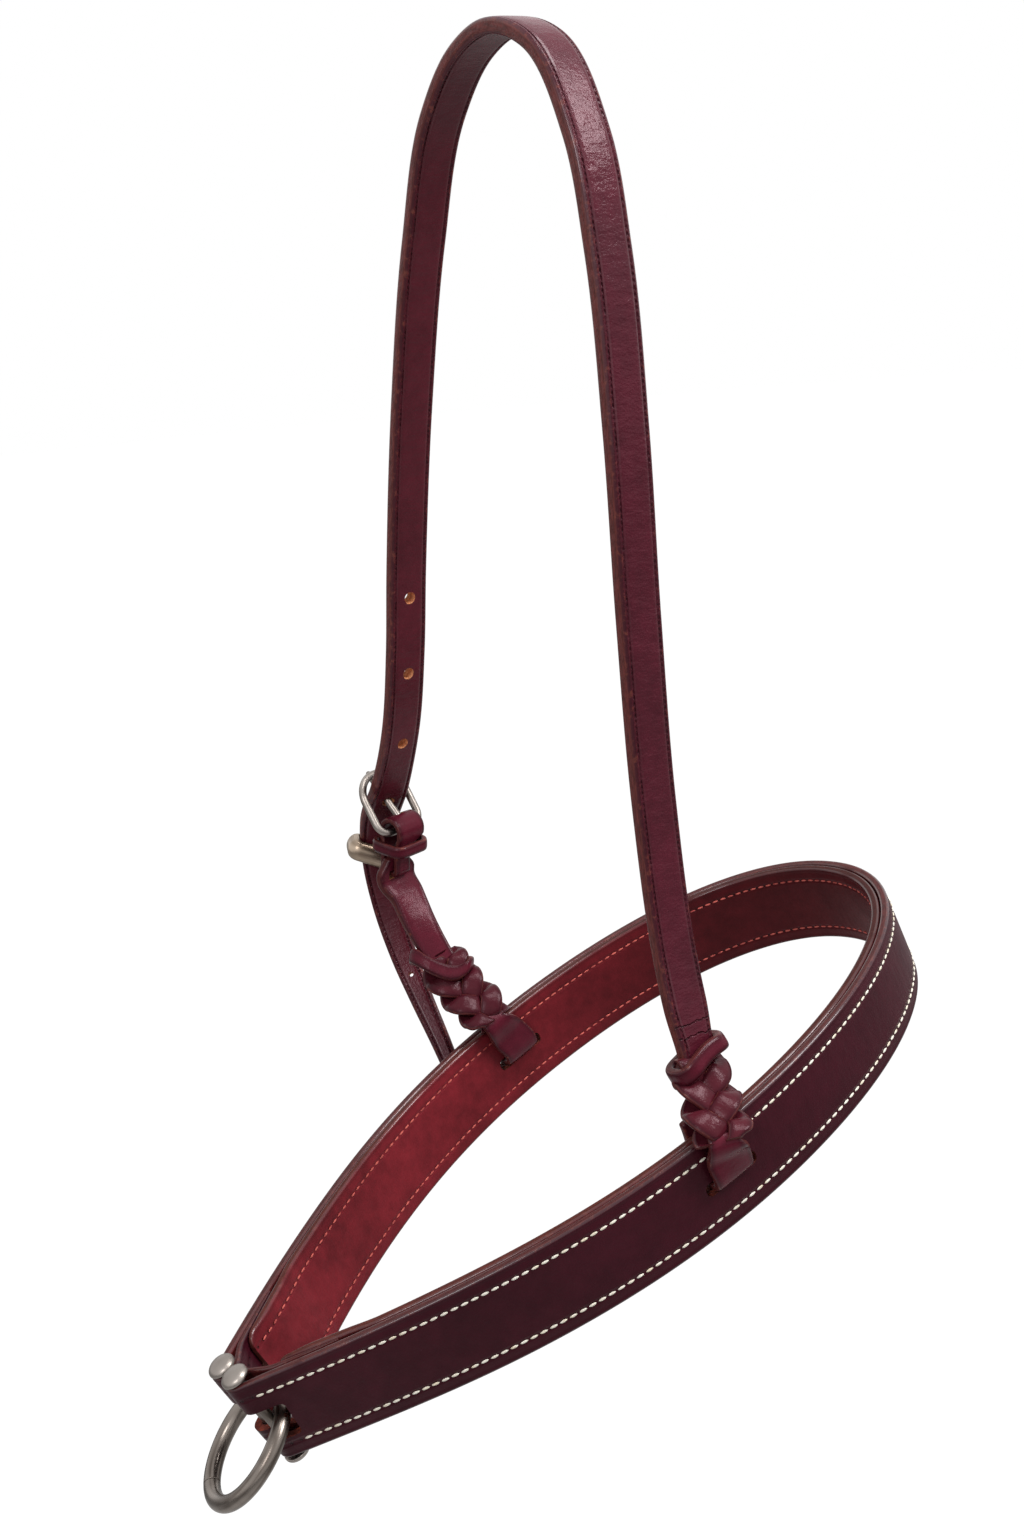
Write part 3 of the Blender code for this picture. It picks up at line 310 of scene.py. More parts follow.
@dataclass(frozen=True)
class Leather:
    """A dyed leather with its grain, its cut edges and the marks of the maker's tools, with painted
    shade in its gaps, holes and creases and a painted highlight on its corners.
    """

    name: str
    slot: Slot
    face: Colour
    flesh: Colour
    edge: Colour
    wear_and_highlight_colour: Colour
    roughness: float = 0.33
    mottle: float = 0.30
    grain: float = 1250.0
    depth: float = 0.00024
    rim_wear_and_highlight: float = 0.34
    rim: float = 0.0009
    burnish_and_gap_shade: float = 0.30
    gleam: float = 0.85
    specular: float = 0.20
    scuffed: float = 0.08
    painted_nose_shade: float = 0.0
    pricked: bool = False
    dotted_at: float = 0.0
    dot_pitch: float = 0.0019
    bends: tuple[float, ...] = ()

    def dye(self, skin: Skin, shade: Signal) -> None:
        """Colour the faces and the fibrous cut edges, and darken the corners: burnished edges, and
        painted shade in the gaps between the plait's strands.

        Args:
            skin: The surface in the making.
            shade: How far the faces are from dark to light.
        """
        graph = skin.graph
        low, high = 1 - self.mottle, 1 + self.mottle
        face, flesh = (graph.mixed(shade, tone.linear(low), tone.linear(high))
                       for tone in (self.face, self.flesh))
        fibre = graph.patches(graph.joined(skin.along * 260, skin.level * 3.0, skin.across * 90),
                              1.0, 0.3, 0.72, 5, 0.7)
        edge = graph.mixed(fibre, self.edge.linear(0.45), self.edge.linear(1.25))
        skin.colour = graph.mixed(skin.outer, graph.mixed(skin.inner, edge, flesh), face)
        # Darker along the corners of the faces: partly burnished edges, partly painted shade in the
        # gaps between strands.
        burnish_and_gap_shade = (1 - graph.rise(skin.margin, 0.0004, 0.0026)) * self.burnish_and_gap_shade * skin.faces
        skin.stain(burnish_and_gap_shade, self.face.linear(0.45))

    def rub(self, skin: Skin) -> None:
        """Rub the corners lighter, partly as painted highlight, scuff the faces, and paint shade on
        what lies towards the nose.

        Args:
            skin: The surface in the making.
        """
        graph = skin.graph
        rub_and_highlight_patches = graph.patches(skin.place, 420, 0.50, 0.68, 5, 0.7)
        # Lighter colour along the corners in random patches: partly rubbing, partly a painted
        # highlight.
        rim = graph.rise(abs(skin.level), 0.30, 0.60)
        rim = rim * (1 - graph.rise(skin.margin, self.rim * 0.3, self.rim)) * rub_and_highlight_patches
        skin.stain(rim * self.rim_wear_and_highlight, self.wear_and_highlight_colour.linear())
        scuff = graph.patches(graph.joined(skin.along * 400, skin.across * 1600, skin.level * 2),
                              1.0, 0.66, 0.80, 4, 0.7)
        skin.stain(scuff * self.scuffed, self.wear_and_highlight_colour.linear(0.8))
        if self.painted_nose_shade:
            # Painted shade: the colour darkens towards the nose, where the inside of the band faces
            # away from the light.
            nose = graph.rise(graph.split(skin.place)[0], -0.02, 0.12)
            skin.stain(nose * self.painted_nose_shade, self.face.linear(0.20))

    def prick(self, skin: Skin) -> None:
        """Press in a trench for each row of stitches, with a hole at each end of each stitch,
        darkened with painted shade.

        Args:
            skin: The surface in the making.
        """
        graph = skin.graph
        step = graph.math("FRACT", skin.along / STITCH_PITCH)
        near = graph.math("MINIMUM", step, 1 - step) * STITCH_PITCH
        off_row = abs(abs(skin.across) - STITCH_ROW)
        reach = graph.math("SQRT", near * near + off_row * off_row)
        holes = (1 - graph.rise(reach, 0.00030, 0.00062)) * skin.faces
        trench = 1 - graph.rise(off_row, 0.0003, 0.0013)
        # Painted shade in the stitch holes.
        skin.stain(holes * 0.75, self.face.linear(0.25))
        skin.height = skin.height - holes * 1.6 - trench * 0.9

    def roll_dots(self, skin: Skin) -> None:
        """Roll a dotted line beside each edge, broken in places, with painted shade in the pressed
        dots.

        Args:
            skin: The surface in the making.
        """
        graph = skin.graph
        beat = graph.math("SINE", skin.along * (2 * math.pi / self.dot_pitch)) * 0.5 + 0.5
        line = 1 - graph.rise(abs(skin.margin - self.dotted_at), 0.00018, 0.00050)
        broken = graph.patches(skin.place, 130, 0.38, 0.58)
        mark = line * (beat * 0.55 + 0.45) * (broken * 0.7 + 0.3) * skin.faces
        # Painted shade in the pressed dots.
        skin.stain(mark * 0.75, self.face.linear(0.30))
        skin.height = skin.height - mark * 1.1

    def fold(self, skin: Skin, bend: float) -> None:
        """Crack the outer face across the strap, at a distance along it, with painted shade in the
        crack.

        Args:
            skin: The surface in the making.
            bend: That distance.
        """
        graph = skin.graph
        wander = (graph.cloud(graph.joined(skin.across * 240, bend * 90), 1.0, 4) - 0.5) * 0.0046
        gap = graph.patches(graph.joined(skin.across * 420, bend * 37), 1.0, 0.34, 0.5, 2)
        line = 1 - graph.rise(abs(skin.along + wander - bend), 0.00008, 0.00040)
        fold = line * gap * skin.outer
        # Painted shade in the crack.
        skin.stain(fold * 0.70, self.face.linear(0.35))
        skin.height = skin.height - fold * 1.6

    def make(self) -> bpy.types.Material:
        """Build the material: its dye with painted shade, its rubbed and painted-highlit corners,
        its grain, then the marks of the maker's tools with painted shade in them.

        Returns:
            The finished material.
        """
        graph = Graph.for_material(self.name)
        skin = Skin(graph)
        blotch = graph.patches(skin.place, 34, 0.30, 0.70, 4)
        patch = graph.patches(skin.place, 210, 0.25, 0.75, 6, 0.65)
        shade = blotch * 0.55 + patch * 0.45
        self.dye(skin, shade)
        self.rub(skin)
        pores = graph.cells(skin.place, self.grain)
        fine = graph.cloud(skin.place, self.grain * 2.1)
        wrinkle = graph.cloud(graph.joined(skin.along * 300, skin.across * 140, skin.level),
                              1.0, 5, 0.6)
        corner = graph.rise(abs(skin.level), 0.35, 0.60)
        corner = corner * (1 - graph.rise(skin.margin, 0.0004, 0.0010))
        skin.height = (pores * 0.13 + fine * 0.06 + wrinkle) * (1 - corner * 0.85)
        gleam = corner
        if self.pricked:
            self.prick(skin)
        if self.dotted_at:
            self.roll_dots(skin)
            ridge = 1 - graph.rise(abs(skin.margin - self.dotted_at - 0.0008), 0.00012, 0.00045)
            gleam = graph.math("MAXIMUM", corner, ridge)
        for bend in self.bends:
            self.fold(skin, bend)
        gloss = shade * -0.10 + (1 - skin.outer - skin.inner) * 0.16 + self.roughness + 0.05
        waxed = graph.patches(skin.place, 40, 0.22, 0.42, 2)
        return graph.finish(skin.colour, gloss, skin.height, self.depth, gleam * waxed * self.gleam,
                            Coat_Roughness=0.13, Specular_IOR_Level=self.specular,
                            Specular_Tint=(1.0, 0.74, 0.80, 1.0))


@dataclass(frozen=True)
class Raw:
    """Undyed leather where a strap is cut through."""

    name: str
    slot: Slot
    light: Colour
    dark: Colour

    def make(self) -> bpy.types.Material:
        """Build the fibrous material.

        Returns:
            The finished material.
        """
        graph = Graph.for_material(self.name)
        place = graph.place()
        fibre = graph.cloud(place, 900, 6, 0.7)
        stain = graph.patches(place, 320, 0.35, 0.65)
        colour = graph.mixed(graph.rise(fibre, 0.35, 0.68), self.dark.linear(), self.light.linear())
        colour = graph.mixed(stain * 0.45, colour, self.dark.linear(0.6))
        return graph.finish(colour, fibre * 0.2 + 0.62, fibre, 0.00030, Specular_IOR_Level=0.2)


@dataclass(frozen=True)
class Thread:
    """Waxed sewing thread, with the dirt that it picks up."""

    name: str
    slot: Slot
    light: Colour
    dark: Colour

    def make(self) -> bpy.types.Material:
        """Build the thread's material.

        Returns:
            The finished material.
        """
        graph = Graph.for_material(self.name)
        place = graph.place()
        soil = graph.patches(place, 260, 0.38, 0.72, 4)
        colour = graph.mixed(soil, self.light.linear(), self.dark.linear())
        twist = graph.cloud(place, 2600, 4, 0.7)
        return graph.finish(colour, twist * 0.2 + 0.5, twist, 0.00016, Specular_IOR_Level=0.3)


@dataclass(frozen=True)
class Metal:
    """Brushed metal with a fine grain, soft stains and small scratches, and light and dark streaks
    that partly paint in reflections of dark surroundings.
    """

    name: str
    slot: Slot
    light: Colour
    dark: Colour
    roughness: float

    def make(self) -> bpy.types.Material:
        """Build the brushed material.

        Returns:
            The finished material.
        """
        graph = Graph.for_material(self.name)
        place = graph.place()
        along, across = graph.own_map("strap")
        level = graph.own_map("border")[1]
        brush_and_reflection_streaks = graph.cloud(graph.joined(along * 26, across * 520, level * 1.3), 1.0, 2, 0.5)
        stain = graph.patches(place, 90, 0.36, 0.66, 2)
        # Light and dark streaks along the metal: partly brushed grain, partly painted reflection of
        # dark surroundings.
        shade = stain * 0.40 + graph.rise(brush_and_reflection_streaks, 0.34, 0.66) * 0.60
        colour = graph.mixed(shade, self.light.linear(), self.dark.linear())
        return graph.finish(colour, shade * 0.08 + self.roughness, brush_and_reflection_streaks, 0.000004, Metallic=1.0)


Finish = Leather | Raw | Thread | Metal


class Finishes:
    """Every material of the noseband, made once."""

    def __init__(self) -> None:
        """Build the materials."""
        wear_and_highlight_colour = Colour(140, 74, 60)
        self.band = Leather(
            "dark_band_leather", Slot.BAND, Colour(61, 17, 28), Colour(94, 36, 36),
            Colour(84, 39, 38), wear_and_highlight_colour, pricked=True, roughness=0.34, grain=1500, specular=0.17)
        # The lining takes painted shade towards the nose.
        self.lining = Leather(
            "red_lining_leather", Slot.LINING, Colour(88, 34, 36), Colour(114, 30, 38),
            Colour(92, 44, 38), wear_and_highlight_colour, pricked=True, roughness=0.44, mottle=0.42, specular=0.14,
            painted_nose_shade=0.62)
        # Its corners are rubbed lighter, partly as painted highlight.
        self.crown = Leather(
            "crown_strap_leather", Slot.CROWN, Colour(81, 26, 39), Colour(82, 25, 36),
            Colour(110, 52, 49), wear_and_highlight_colour, dotted_at=0.0017, bends=(0.0072, 0.0112), rim_wear_and_highlight=0.60,
            rim=0.0020, roughness=0.26, specular=0.24, gleam=0.40, depth=0.00040, scuffed=0.26)
        # Strong darkening along the strand edges paints shade into the gaps between the plait's
        # strands.
        self.knot = Leather(
            "plait_leather", Slot.KNOT, Colour(92, 27, 42), Colour(78, 26, 36),
            Colour(92, 40, 40), Colour(160, 86, 64), roughness=0.24, grain=1500, burnish_and_gap_shade=0.90,
            gleam=0.20, specular=0.16)
        self.raw_dark = Raw(
            "cut_band_leather", Slot.BAND, Colour(150, 66, 48), Colour(84, 36, 32))
        self.raw_light = Raw(
            "cut_strap_leather", Slot.CROWN, Colour(246, 186, 138), Colour(206, 130, 88))
        self.cream = Thread(
            "cream_thread", Slot.BAND, Colour(255, 250, 236), Colour(240, 226, 200))
        self.pink = Thread(
            "lining_thread", Slot.LINING, Colour(214, 104, 94), Colour(150, 54, 54))
        # The metals' dark tones partly paint in reflections of dark surroundings.
        self.steel = Metal(
            "brushed_steel_wire", Slot.STEEL, Colour(172, 164, 158), Colour(104, 95, 88), 0.34)
        self.ring_steel = Metal(
            "brushed_ring_steel", Slot.STEEL, Colour(148, 139, 132), Colour(82, 73, 67), 0.24)
        self.nickel = Metal(
            "warm_nickel", Slot.KEEPER, Colour(184, 166, 148), Colour(112, 94, 78), 0.30)
        self.built: dict[str, bpy.types.Material] = {}

    def material(self, finish: Finish) -> bpy.types.Material:
        """The material of a finish, which is built when it is first asked for.

        Args:
            finish: The finish.

        Returns:
            Its material.
        """
        if finish.name not in self.built:
            self.built[finish.name] = finish.make()
        return self.built[finish.name]


# Routes and sections


@dataclass
class Station:
    """One cross-section of a swept piece: where it is, how it faces and how large it is."""

    centre: Vector
    side: Vector
    out: Vector
    width: float
    thickness: float
    inset: float = 0.0


class Route:
    """A smooth line through space that is read by the distance along it."""

    REACH = 0.0008

    def __init__(self, points: list[Vector]) -> None:
        """Measure the line through these points.

        Args:
            points: The points, in order.
        """
        self.points = points
        self.distances = [0.0]
        for before, after in zip(points, points[1:]):
            self.distances.append(self.distances[-1] + (after - before).length)

    @property
    def length(self) -> float:
        """The whole length of the route."""
        return self.distances[-1]

    def point(self, distance: float) -> Vector:
        """The place at a distance, carried on straight past either end.

        Args:
            distance: How far along it.

        Returns:
            The place.
        """
        last = len(self.points) - 2
        index = min(max(bisect.bisect_right(self.distances, distance) - 1, 0), last)
        start, end = self.points[index], self.points[index + 1]
        return start.lerp(end, (distance - self.distances[index]) / (end - start).length)

    def direction(self, distance: float) -> Vector:
        """The way that the route runs at a distance."""
        return (self.point(distance + self.REACH) - self.point(distance - self.REACH)).normalized()

    def nearest(self, place: Vector) -> float:
        """The distance at which the route passes closest to a place."""
        gaps = [(point - place).length for point in self.points]
        return self.distances[gaps.index(min(gaps))]


def bezier_route(arcs: Iterable[Sequence[Vector]], pieces: int = 60) -> Route:
    """A route along cubic arcs.

    Args:
        arcs: Each arc's start, two handles and end.
        pieces: How many points each arc is read at.

    Returns:
        The route.
    """
    points: list[Vector] = []
    for arc in arcs:
        points += interpolate_bezier(*arc, pieces)[:-1]
        last = arc[-1]
    points.append(last)
    return Route(points)


def smooth_route(places: Iterable[Sequence[float]], pieces: int = 16) -> Route:
    """A route through chosen places, with its direction at each taken from its neighbours.

    Args:
        places: The places, in order.
        pieces: How many points are read between two places.

    Returns:
        The route.
    """
    marks = [Vector(place) for place in places]
    slopes = [marks[1] - marks[0]]
    for before, here, after in zip(marks, marks[1:], marks[2:]):
        back, ahead = here - before, after - here
        slopes.append(back.normalized() * ahead.length + ahead.normalized() * back.length)
    slopes.append(marks[-1] - marks[-2])
    arcs = []
    for (start, leave), (end, arrive) in zip(zip(marks, slopes), zip(marks[1:], slopes[1:])):
        reach = (end - start).length / 3
        arcs.append((start, start + leave.normalized() * reach,
                     end - arrive.normalized() * reach, end))
    return bezier_route(arcs, pieces)


def ease(share: float) -> float:
    """A smooth step from 0 to 1."""
    share = min(max(share, 0.0), 1.0)
    return share * share * (3 - 2 * share)


def between(first: float, last: float, share: float) -> float:
    """The value at a share of the way from the first to the last."""
    return first + (last - first) * share


def steps(start: float, end: float, size: float) -> list[float]:
    """Evenly spaced values from start to end, about a given size apart."""
    count = max(1, round(abs(end - start) / size))
    return [start + (end - start) * i / count for i in range(count + 1)]


def square_to(direction: Vector, vector: Vector) -> Vector:
    """The part of a vector that is square to a direction, at unit length."""
    return (vector - direction * vector.dot(direction)).normalized()


@dataclass(frozen=True)
class StrapForm:
    """The section of a strap: rounded corners, a slight pillow and a crease beside each edge."""

    corner: float = 0.0009
    pillow: float = 0.00025
    crease_at: float = 0.0017
    crease_gap: float = 0.0005
    crease_depth: float = 0.0

    def outline(self, station: Station) -> Pairs:
        """The section's corners, from one edge over the outer face and back under.

        Args:
            station: The cross-section.

        Returns:
            Its corners as (across, out) pairs.
        """
        side = station.width / 2 - station.inset
        out = station.thickness / 2 - station.inset
        corner = min(self.corner, out * 0.75, side * 0.3)
        shrink = min(1.0, 0.6 * side / (self.crease_at + self.crease_gap))
        line, gap = self.crease_at * shrink, self.crease_gap * shrink
        last = line + gap
        marks = [(corner, 0.0), (max(line - gap, corner * 1.1), 0.0), (line, self.crease_depth),
                 (last, 0.0)]
        marks += [(last + (side - last) * share, 0.0) for share in (0.22, 0.48, 0.78)]
        half = [(side - margin, out - sink - self.pillow * ((side - margin) / side) ** 4)
                for margin, sink in marks]
        edge_out = half[0][1]
        face = [(-x, y) for x, y in half] + half[::-1]
        turns = [math.radians(angle) for angle in (67.5, 45, 22.5, 0)]
        bend = [(side - corner + corner * math.cos(turn),
                 edge_out - corner + corner * math.sin(turn)) for turn in turns]
        under = [(x, -y) for x, y in (bend[::-1] + face[::-1])]
        rest = [(-x, y) for x, y in bend]
        return face + bend + under + [(x, -y) for x, y in rest] + rest[::-1]


@dataclass(frozen=True)
class WireForm:
    """The section of round or oval wire."""

    sides: int = 24

    def outline(self, station: Station) -> Pairs:
        """The section's corners, round the wire.

        Args:
            station: The cross-section.

        Returns:
            Its corners as (across, out) pairs.
        """
        across, out = station.width / 2 - station.inset, station.thickness / 2 - station.inset
        turns = [2 * math.pi * i / self.sides for i in range(self.sides)]
        return [(math.cos(turn) * across, math.sin(turn) * out) for turn in turns]


@dataclass(frozen=True)
class HalfRoundForm:
    """The section of half-round wire: flat inside with eased corners, domed outside."""

    sides: int = 16
    sink: float = 0.42

    def outline(self, station: Station) -> Pairs:
        """The section's corners, over the dome and back along the flat.

        Args:
            station: The cross-section.

        Returns:
            Its corners as (across, out) pairs.
        """
        half = station.width / 2
        turns = [math.pi * i / self.sides for i in range(self.sides + 1)]
        dome = [(math.cos(turn) * half, (math.sin(turn) - self.sink) * station.thickness)
                for turn in turns]
        return dome + [(half * x, -0.5 * station.thickness) for x in (-0.9, -0.4, 0.4, 0.9)]


Form = StrapForm | WireForm | HalfRoundForm


def swept(stations: Sequence[Station], form: Form, closed: bool = False) -> bmesh.types.BMesh:
    """Sweep a section from station to station and map its length, width and faces.

    Args:
        stations: The sections, in order.
        form: What gives each section's outline.
        closed: True for a piece that runs back into its own start.

    Returns:
        The shape, with the maps "strap" (along, across) and "border" (margin, level).
    """
    rows = list(stations) + ([stations[0]] if closed else [])
    outlines = [form.outline(station) for station in rows]
    columns, last = len(outlines[0]), len(rows) - 1
    reach = [0.0]
    for before, after in zip(rows, rows[1:]):
        reach.append(reach[-1] + (after.centre - before.centre).length)
    shape = bmesh.new()
    strap_map = shape.loops.layers.uv.new("strap")
    border_map = shape.loops.layers.uv.new("border")
    bmesh.ops.create_grid(shape, x_segments=columns, y_segments=last, size=1.0)
    cell = {vert: (round((vert.co.x + 1) / 2 * columns), round((vert.co.y + 1) / 2 * last))
            for vert in shape.verts}
    for face in shape.faces:
        for loop in face.loops:
            column, row = cell[loop.vert]
            station = rows[row]
            across, out = outlines[row][column % columns]
            loop[strap_map].uv = (reach[row], across)
            loop[border_map].uv = (station.width / 2 - abs(across), out / (station.thickness / 2))
    for vert, (column, row) in cell.items():
        across, out = outlines[row][column % columns]
        station = rows[row]
        vert.co = station.centre + station.side * across + station.out * out
    bmesh.ops.remove_doubles(shape, verts=shape.verts, dist=1e-7)
    open_edges = [edge for edge in shape.edges if edge.is_boundary]
    if open_edges:
        bmesh.ops.edgeloop_fill(shape, edges=open_edges)
    return shape


def rounded_ends(stations: list[Station], start: bool, end: bool, radius: float) -> list[Station]:
    """Draw the ends of a strap in, so that its cut corners are eased.

    Args:
        stations: The strap's sections.
        start: Whether its first end is eased.
        end: Whether its last end is eased.
        radius: How far the ends draw in.

    Returns:
        The sections with those of the eased ends.
    """
    def eased(first: Station, second: Station) -> list[Station]:
        """Sections from the drawn-in end to the full section inside it.

        Args:
            first: The end section.
            second: The one next to it.

        Returns:
            The eased sections.
        """
        inward = (second.centre - first.centre).normalized()
        return [Station(first.centre + inward * radius * (1 - math.sin(turn)), first.side,
                        first.out, first.width, first.thickness, radius * (1 - math.cos(turn)))
                for turn in map(math.radians, (90, 60, 30, 0))]

    head = eased(stations[0], stations[1]) if start else stations[:1]
    foot = eased(stations[-1], stations[-2])[::-1] if end else stations[-1:]
    return head + stations[1:-1] + foot


def moved(shape: bmesh.types.BMesh, matrix: Matrix) -> bmesh.types.BMesh:
    """The same shape, moved by a matrix."""
    bmesh.ops.transform(shape, matrix=matrix, verts=shape.verts)
    return shape


def turned(outline: Pairs, turns: int = 72) -> bmesh.types.BMesh:
    """A closed body turned about Z from an outline of (radius, height) pairs.

    Args:
        outline: The pairs.
        turns: How many steps go round.

    Returns:
        The body.
    """
    shape = bmesh.new()
    verts = [shape.verts.new((radius, 0, height)) for radius, height in outline]
    edges = [shape.edges.new(pair) for pair in zip(verts, verts[1:])]
    bmesh.ops.spin(shape, geom=verts + edges, axis=(0, 0, 1), cent=(0, 0, 0),
                   angle=2 * math.pi, steps=turns, use_merge=True)
    bmesh.ops.remove_doubles(shape, verts=shape.verts, dist=1e-6)
    return shape


def round_over(shape: bmesh.types.BMesh, edges: list[bmesh.types.BMEdge], radius: float,
               segments: int) -> None:
    """Round some of a shape's edges over."""
    bmesh.ops.bevel(shape, geom=edges, offset=radius, offset_type="OFFSET", segments=segments,
                    profile=0.5, affect="EDGES", material=-1)


def block(centre: Vector, axes: Sequence[Vector], size: Sequence[float], corner: float,
          corner_axis: int) -> bmesh.types.BMesh:
    """A block for cutting, with the edges along one axis rounded over.

    Args:
        centre: Its middle.
        axes: Its three directions.
        size: Its three sizes.
        corner: The radius of the rounded edges.
        corner_axis: Which axis those edges run along.

    Returns:
        The block.
    """
    shape = bmesh.new()
    bmesh.ops.create_cube(shape, size=1.0)
    bmesh.ops.scale(shape, vec=size, verts=shape.verts)
    if corner:
        rims = [edge for edge in shape.edges
                if abs((edge.verts[0].co - edge.verts[1].co).normalized()[corner_axis]) > 0.9]
        round_over(shape, rims, corner, 6)
    return moved(shape, Matrix.Translation(centre) @ Matrix(axes).transposed().to_4x4())


def loop_stations(centre: Vector, across: Vector, outward: Vector, half_across: float,
                  half_outward: float, corners: Sequence[float], width: float, thickness: float,
                  corner_steps: int = 12) -> list[Station]:
    """Sections round a flat loop with rounded corners.

    Args:
        centre: The loop's middle.
        across: Its first direction.
        outward: Its second direction.
        half_across: Half its size along the first.
        half_outward: Half its size along the second.
        corners: The radius of each corner, from the one towards both directions and round.
        width: The strap's width, square to the loop's plane.
        thickness: The strap's thickness.
        corner_steps: How many steps go round each corner.

    Returns:
        The sections.
    """
    along = across.cross(outward).normalized()
    stations = []
    for index, ((u, v), corner) in enumerate(zip(((1, 1), (-1, 1), (-1, -1), (1, -1)), corners)):
        middle = (centre + across * (u * (half_across - corner))
                  + outward * (v * (half_outward - corner)))
        for step in range(corner_steps + 1):
            turn = (index + step / corner_steps) * math.pi / 2
            facing = across * math.cos(turn) + outward * math.sin(turn)
            stations.append(Station(middle + facing * corner, along, facing, width, thickness))
    return stations


def steps_between(stations: Sequence[Station], size: float = 0.0012) -> list[Station]:
    """The sections of a closed loop, with more of them along its straight runs.

    Args:
        stations: The loop's sections.
        size: How far apart they may be.

    Returns:
        The filled-in sections.
    """
    filled = []
    for here, after in zip(stations, [*stations[1:], stations[0]]):
        for share in steps(0, 1, size / max(size, (after.centre - here.centre).length))[:-1]:
            filled.append(Station(here.centre.lerp(after.centre, share), here.side,
                                  here.out.lerp(after.out, share).normalized(), here.width,
                                  here.thickness))
    return filled


def added(name: str, data: bpy.types.ID) -> bpy.types.Object:
    """A new object in the scene, with this data.

    Args:
        name: Its name.
        data: Its mesh, lamp or camera.

    Returns:
        The object.
    """
    made = bpy.data.objects.new(name, data)
    bpy.context.scene.collection.objects.link(made)
    return made


@dataclass
class Workshop:
    """What every sub-assembly needs: the finishes, and the making of finished objects."""

    finishes: Finishes = field(default_factory=Finishes)

    def piece(self, name: str, shape: bmesh.types.BMesh, finish: Finish, body: Body,
              nodes: Sequence[str] = (), cutters: Sequence[bmesh.types.BMesh] = (),
              cut_finish: Raw | None = None) -> bpy.types.Object:
        """Make one finished object from a shape and join it to its body.

        Args:
            name: The object's name.
            shape: Its bmesh, which is used up.
            finish: Its material.
            body: The body that it rides on.
            nodes: The CAD nodes that it stands for.
            cutters: Shapes that are cut out of it, which are used up.
            cut_finish: The material of the cut walls.

        Returns:
            The object.
        """
        bmesh.ops.recalc_face_normals(shape, faces=shape.faces)
        material = self.finishes.material(finish)
        materials = [material] + ([self.finishes.material(cut_finish)] if cut_finish else [])
        made = self.plain_object(name, shape, materials)
        for cutter in cutters:
            self.cut(made, cutter, materials)
        made.data.shade_smooth()
        made.data.set_sharp_from_angle(angle=SHARP_ANGLE)
        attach(made, body.value)
        if nodes:
            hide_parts(*nodes)
        LOG.info("%s: %d faces on %s", name, len(made.data.polygons), body.value)
        return made

    @staticmethod
    def plain_object(name: str, shape: bmesh.types.BMesh,
                     materials: Sequence[bpy.types.Material]) -> bpy.types.Object:
        """An object from a bmesh, with its material slots.

        Args:
            name: Its name.
            shape: Its bmesh, which is used up.
            materials: What its slots hold.

        Returns:
            The object.
        """
        mesh = bpy.data.meshes.new(name)
        shape.to_mesh(mesh)
        shape.free()
        for material in materials:
            mesh.materials.append(material)
        return added(name, mesh)

    def cut(self, piece: bpy.types.Object, shape: bmesh.types.BMesh,
            materials: Sequence[bpy.types.Material]) -> None:
        """Cut a shape out of a piece, whose walls take the last of the materials.

        Args:
            piece: The piece.
            shape: What is cut out, which is used up.
            materials: The piece's materials.
        """
        bmesh.ops.recalc_face_normals(shape, faces=shape.faces)
        for face in shape.faces:
            face.material_index = len(materials) - 1
        cutter = self.plain_object("cutter", shape, materials)
        modifier = piece.modifiers.new("cut", "BOOLEAN")
        modifier.operation = "DIFFERENCE"
        modifier.solver = "EXACT"
        modifier.object = cutter
        graph = bpy.context.evaluated_depsgraph_get()
        mesh = bpy.data.meshes.new_from_object(piece.evaluated_get(graph))
        piece.modifiers.clear()
        old = piece.data
        piece.data = mesh
        bpy.data.meshes.remove(old)
        bpy.data.objects.remove(cutter)


# The noseband


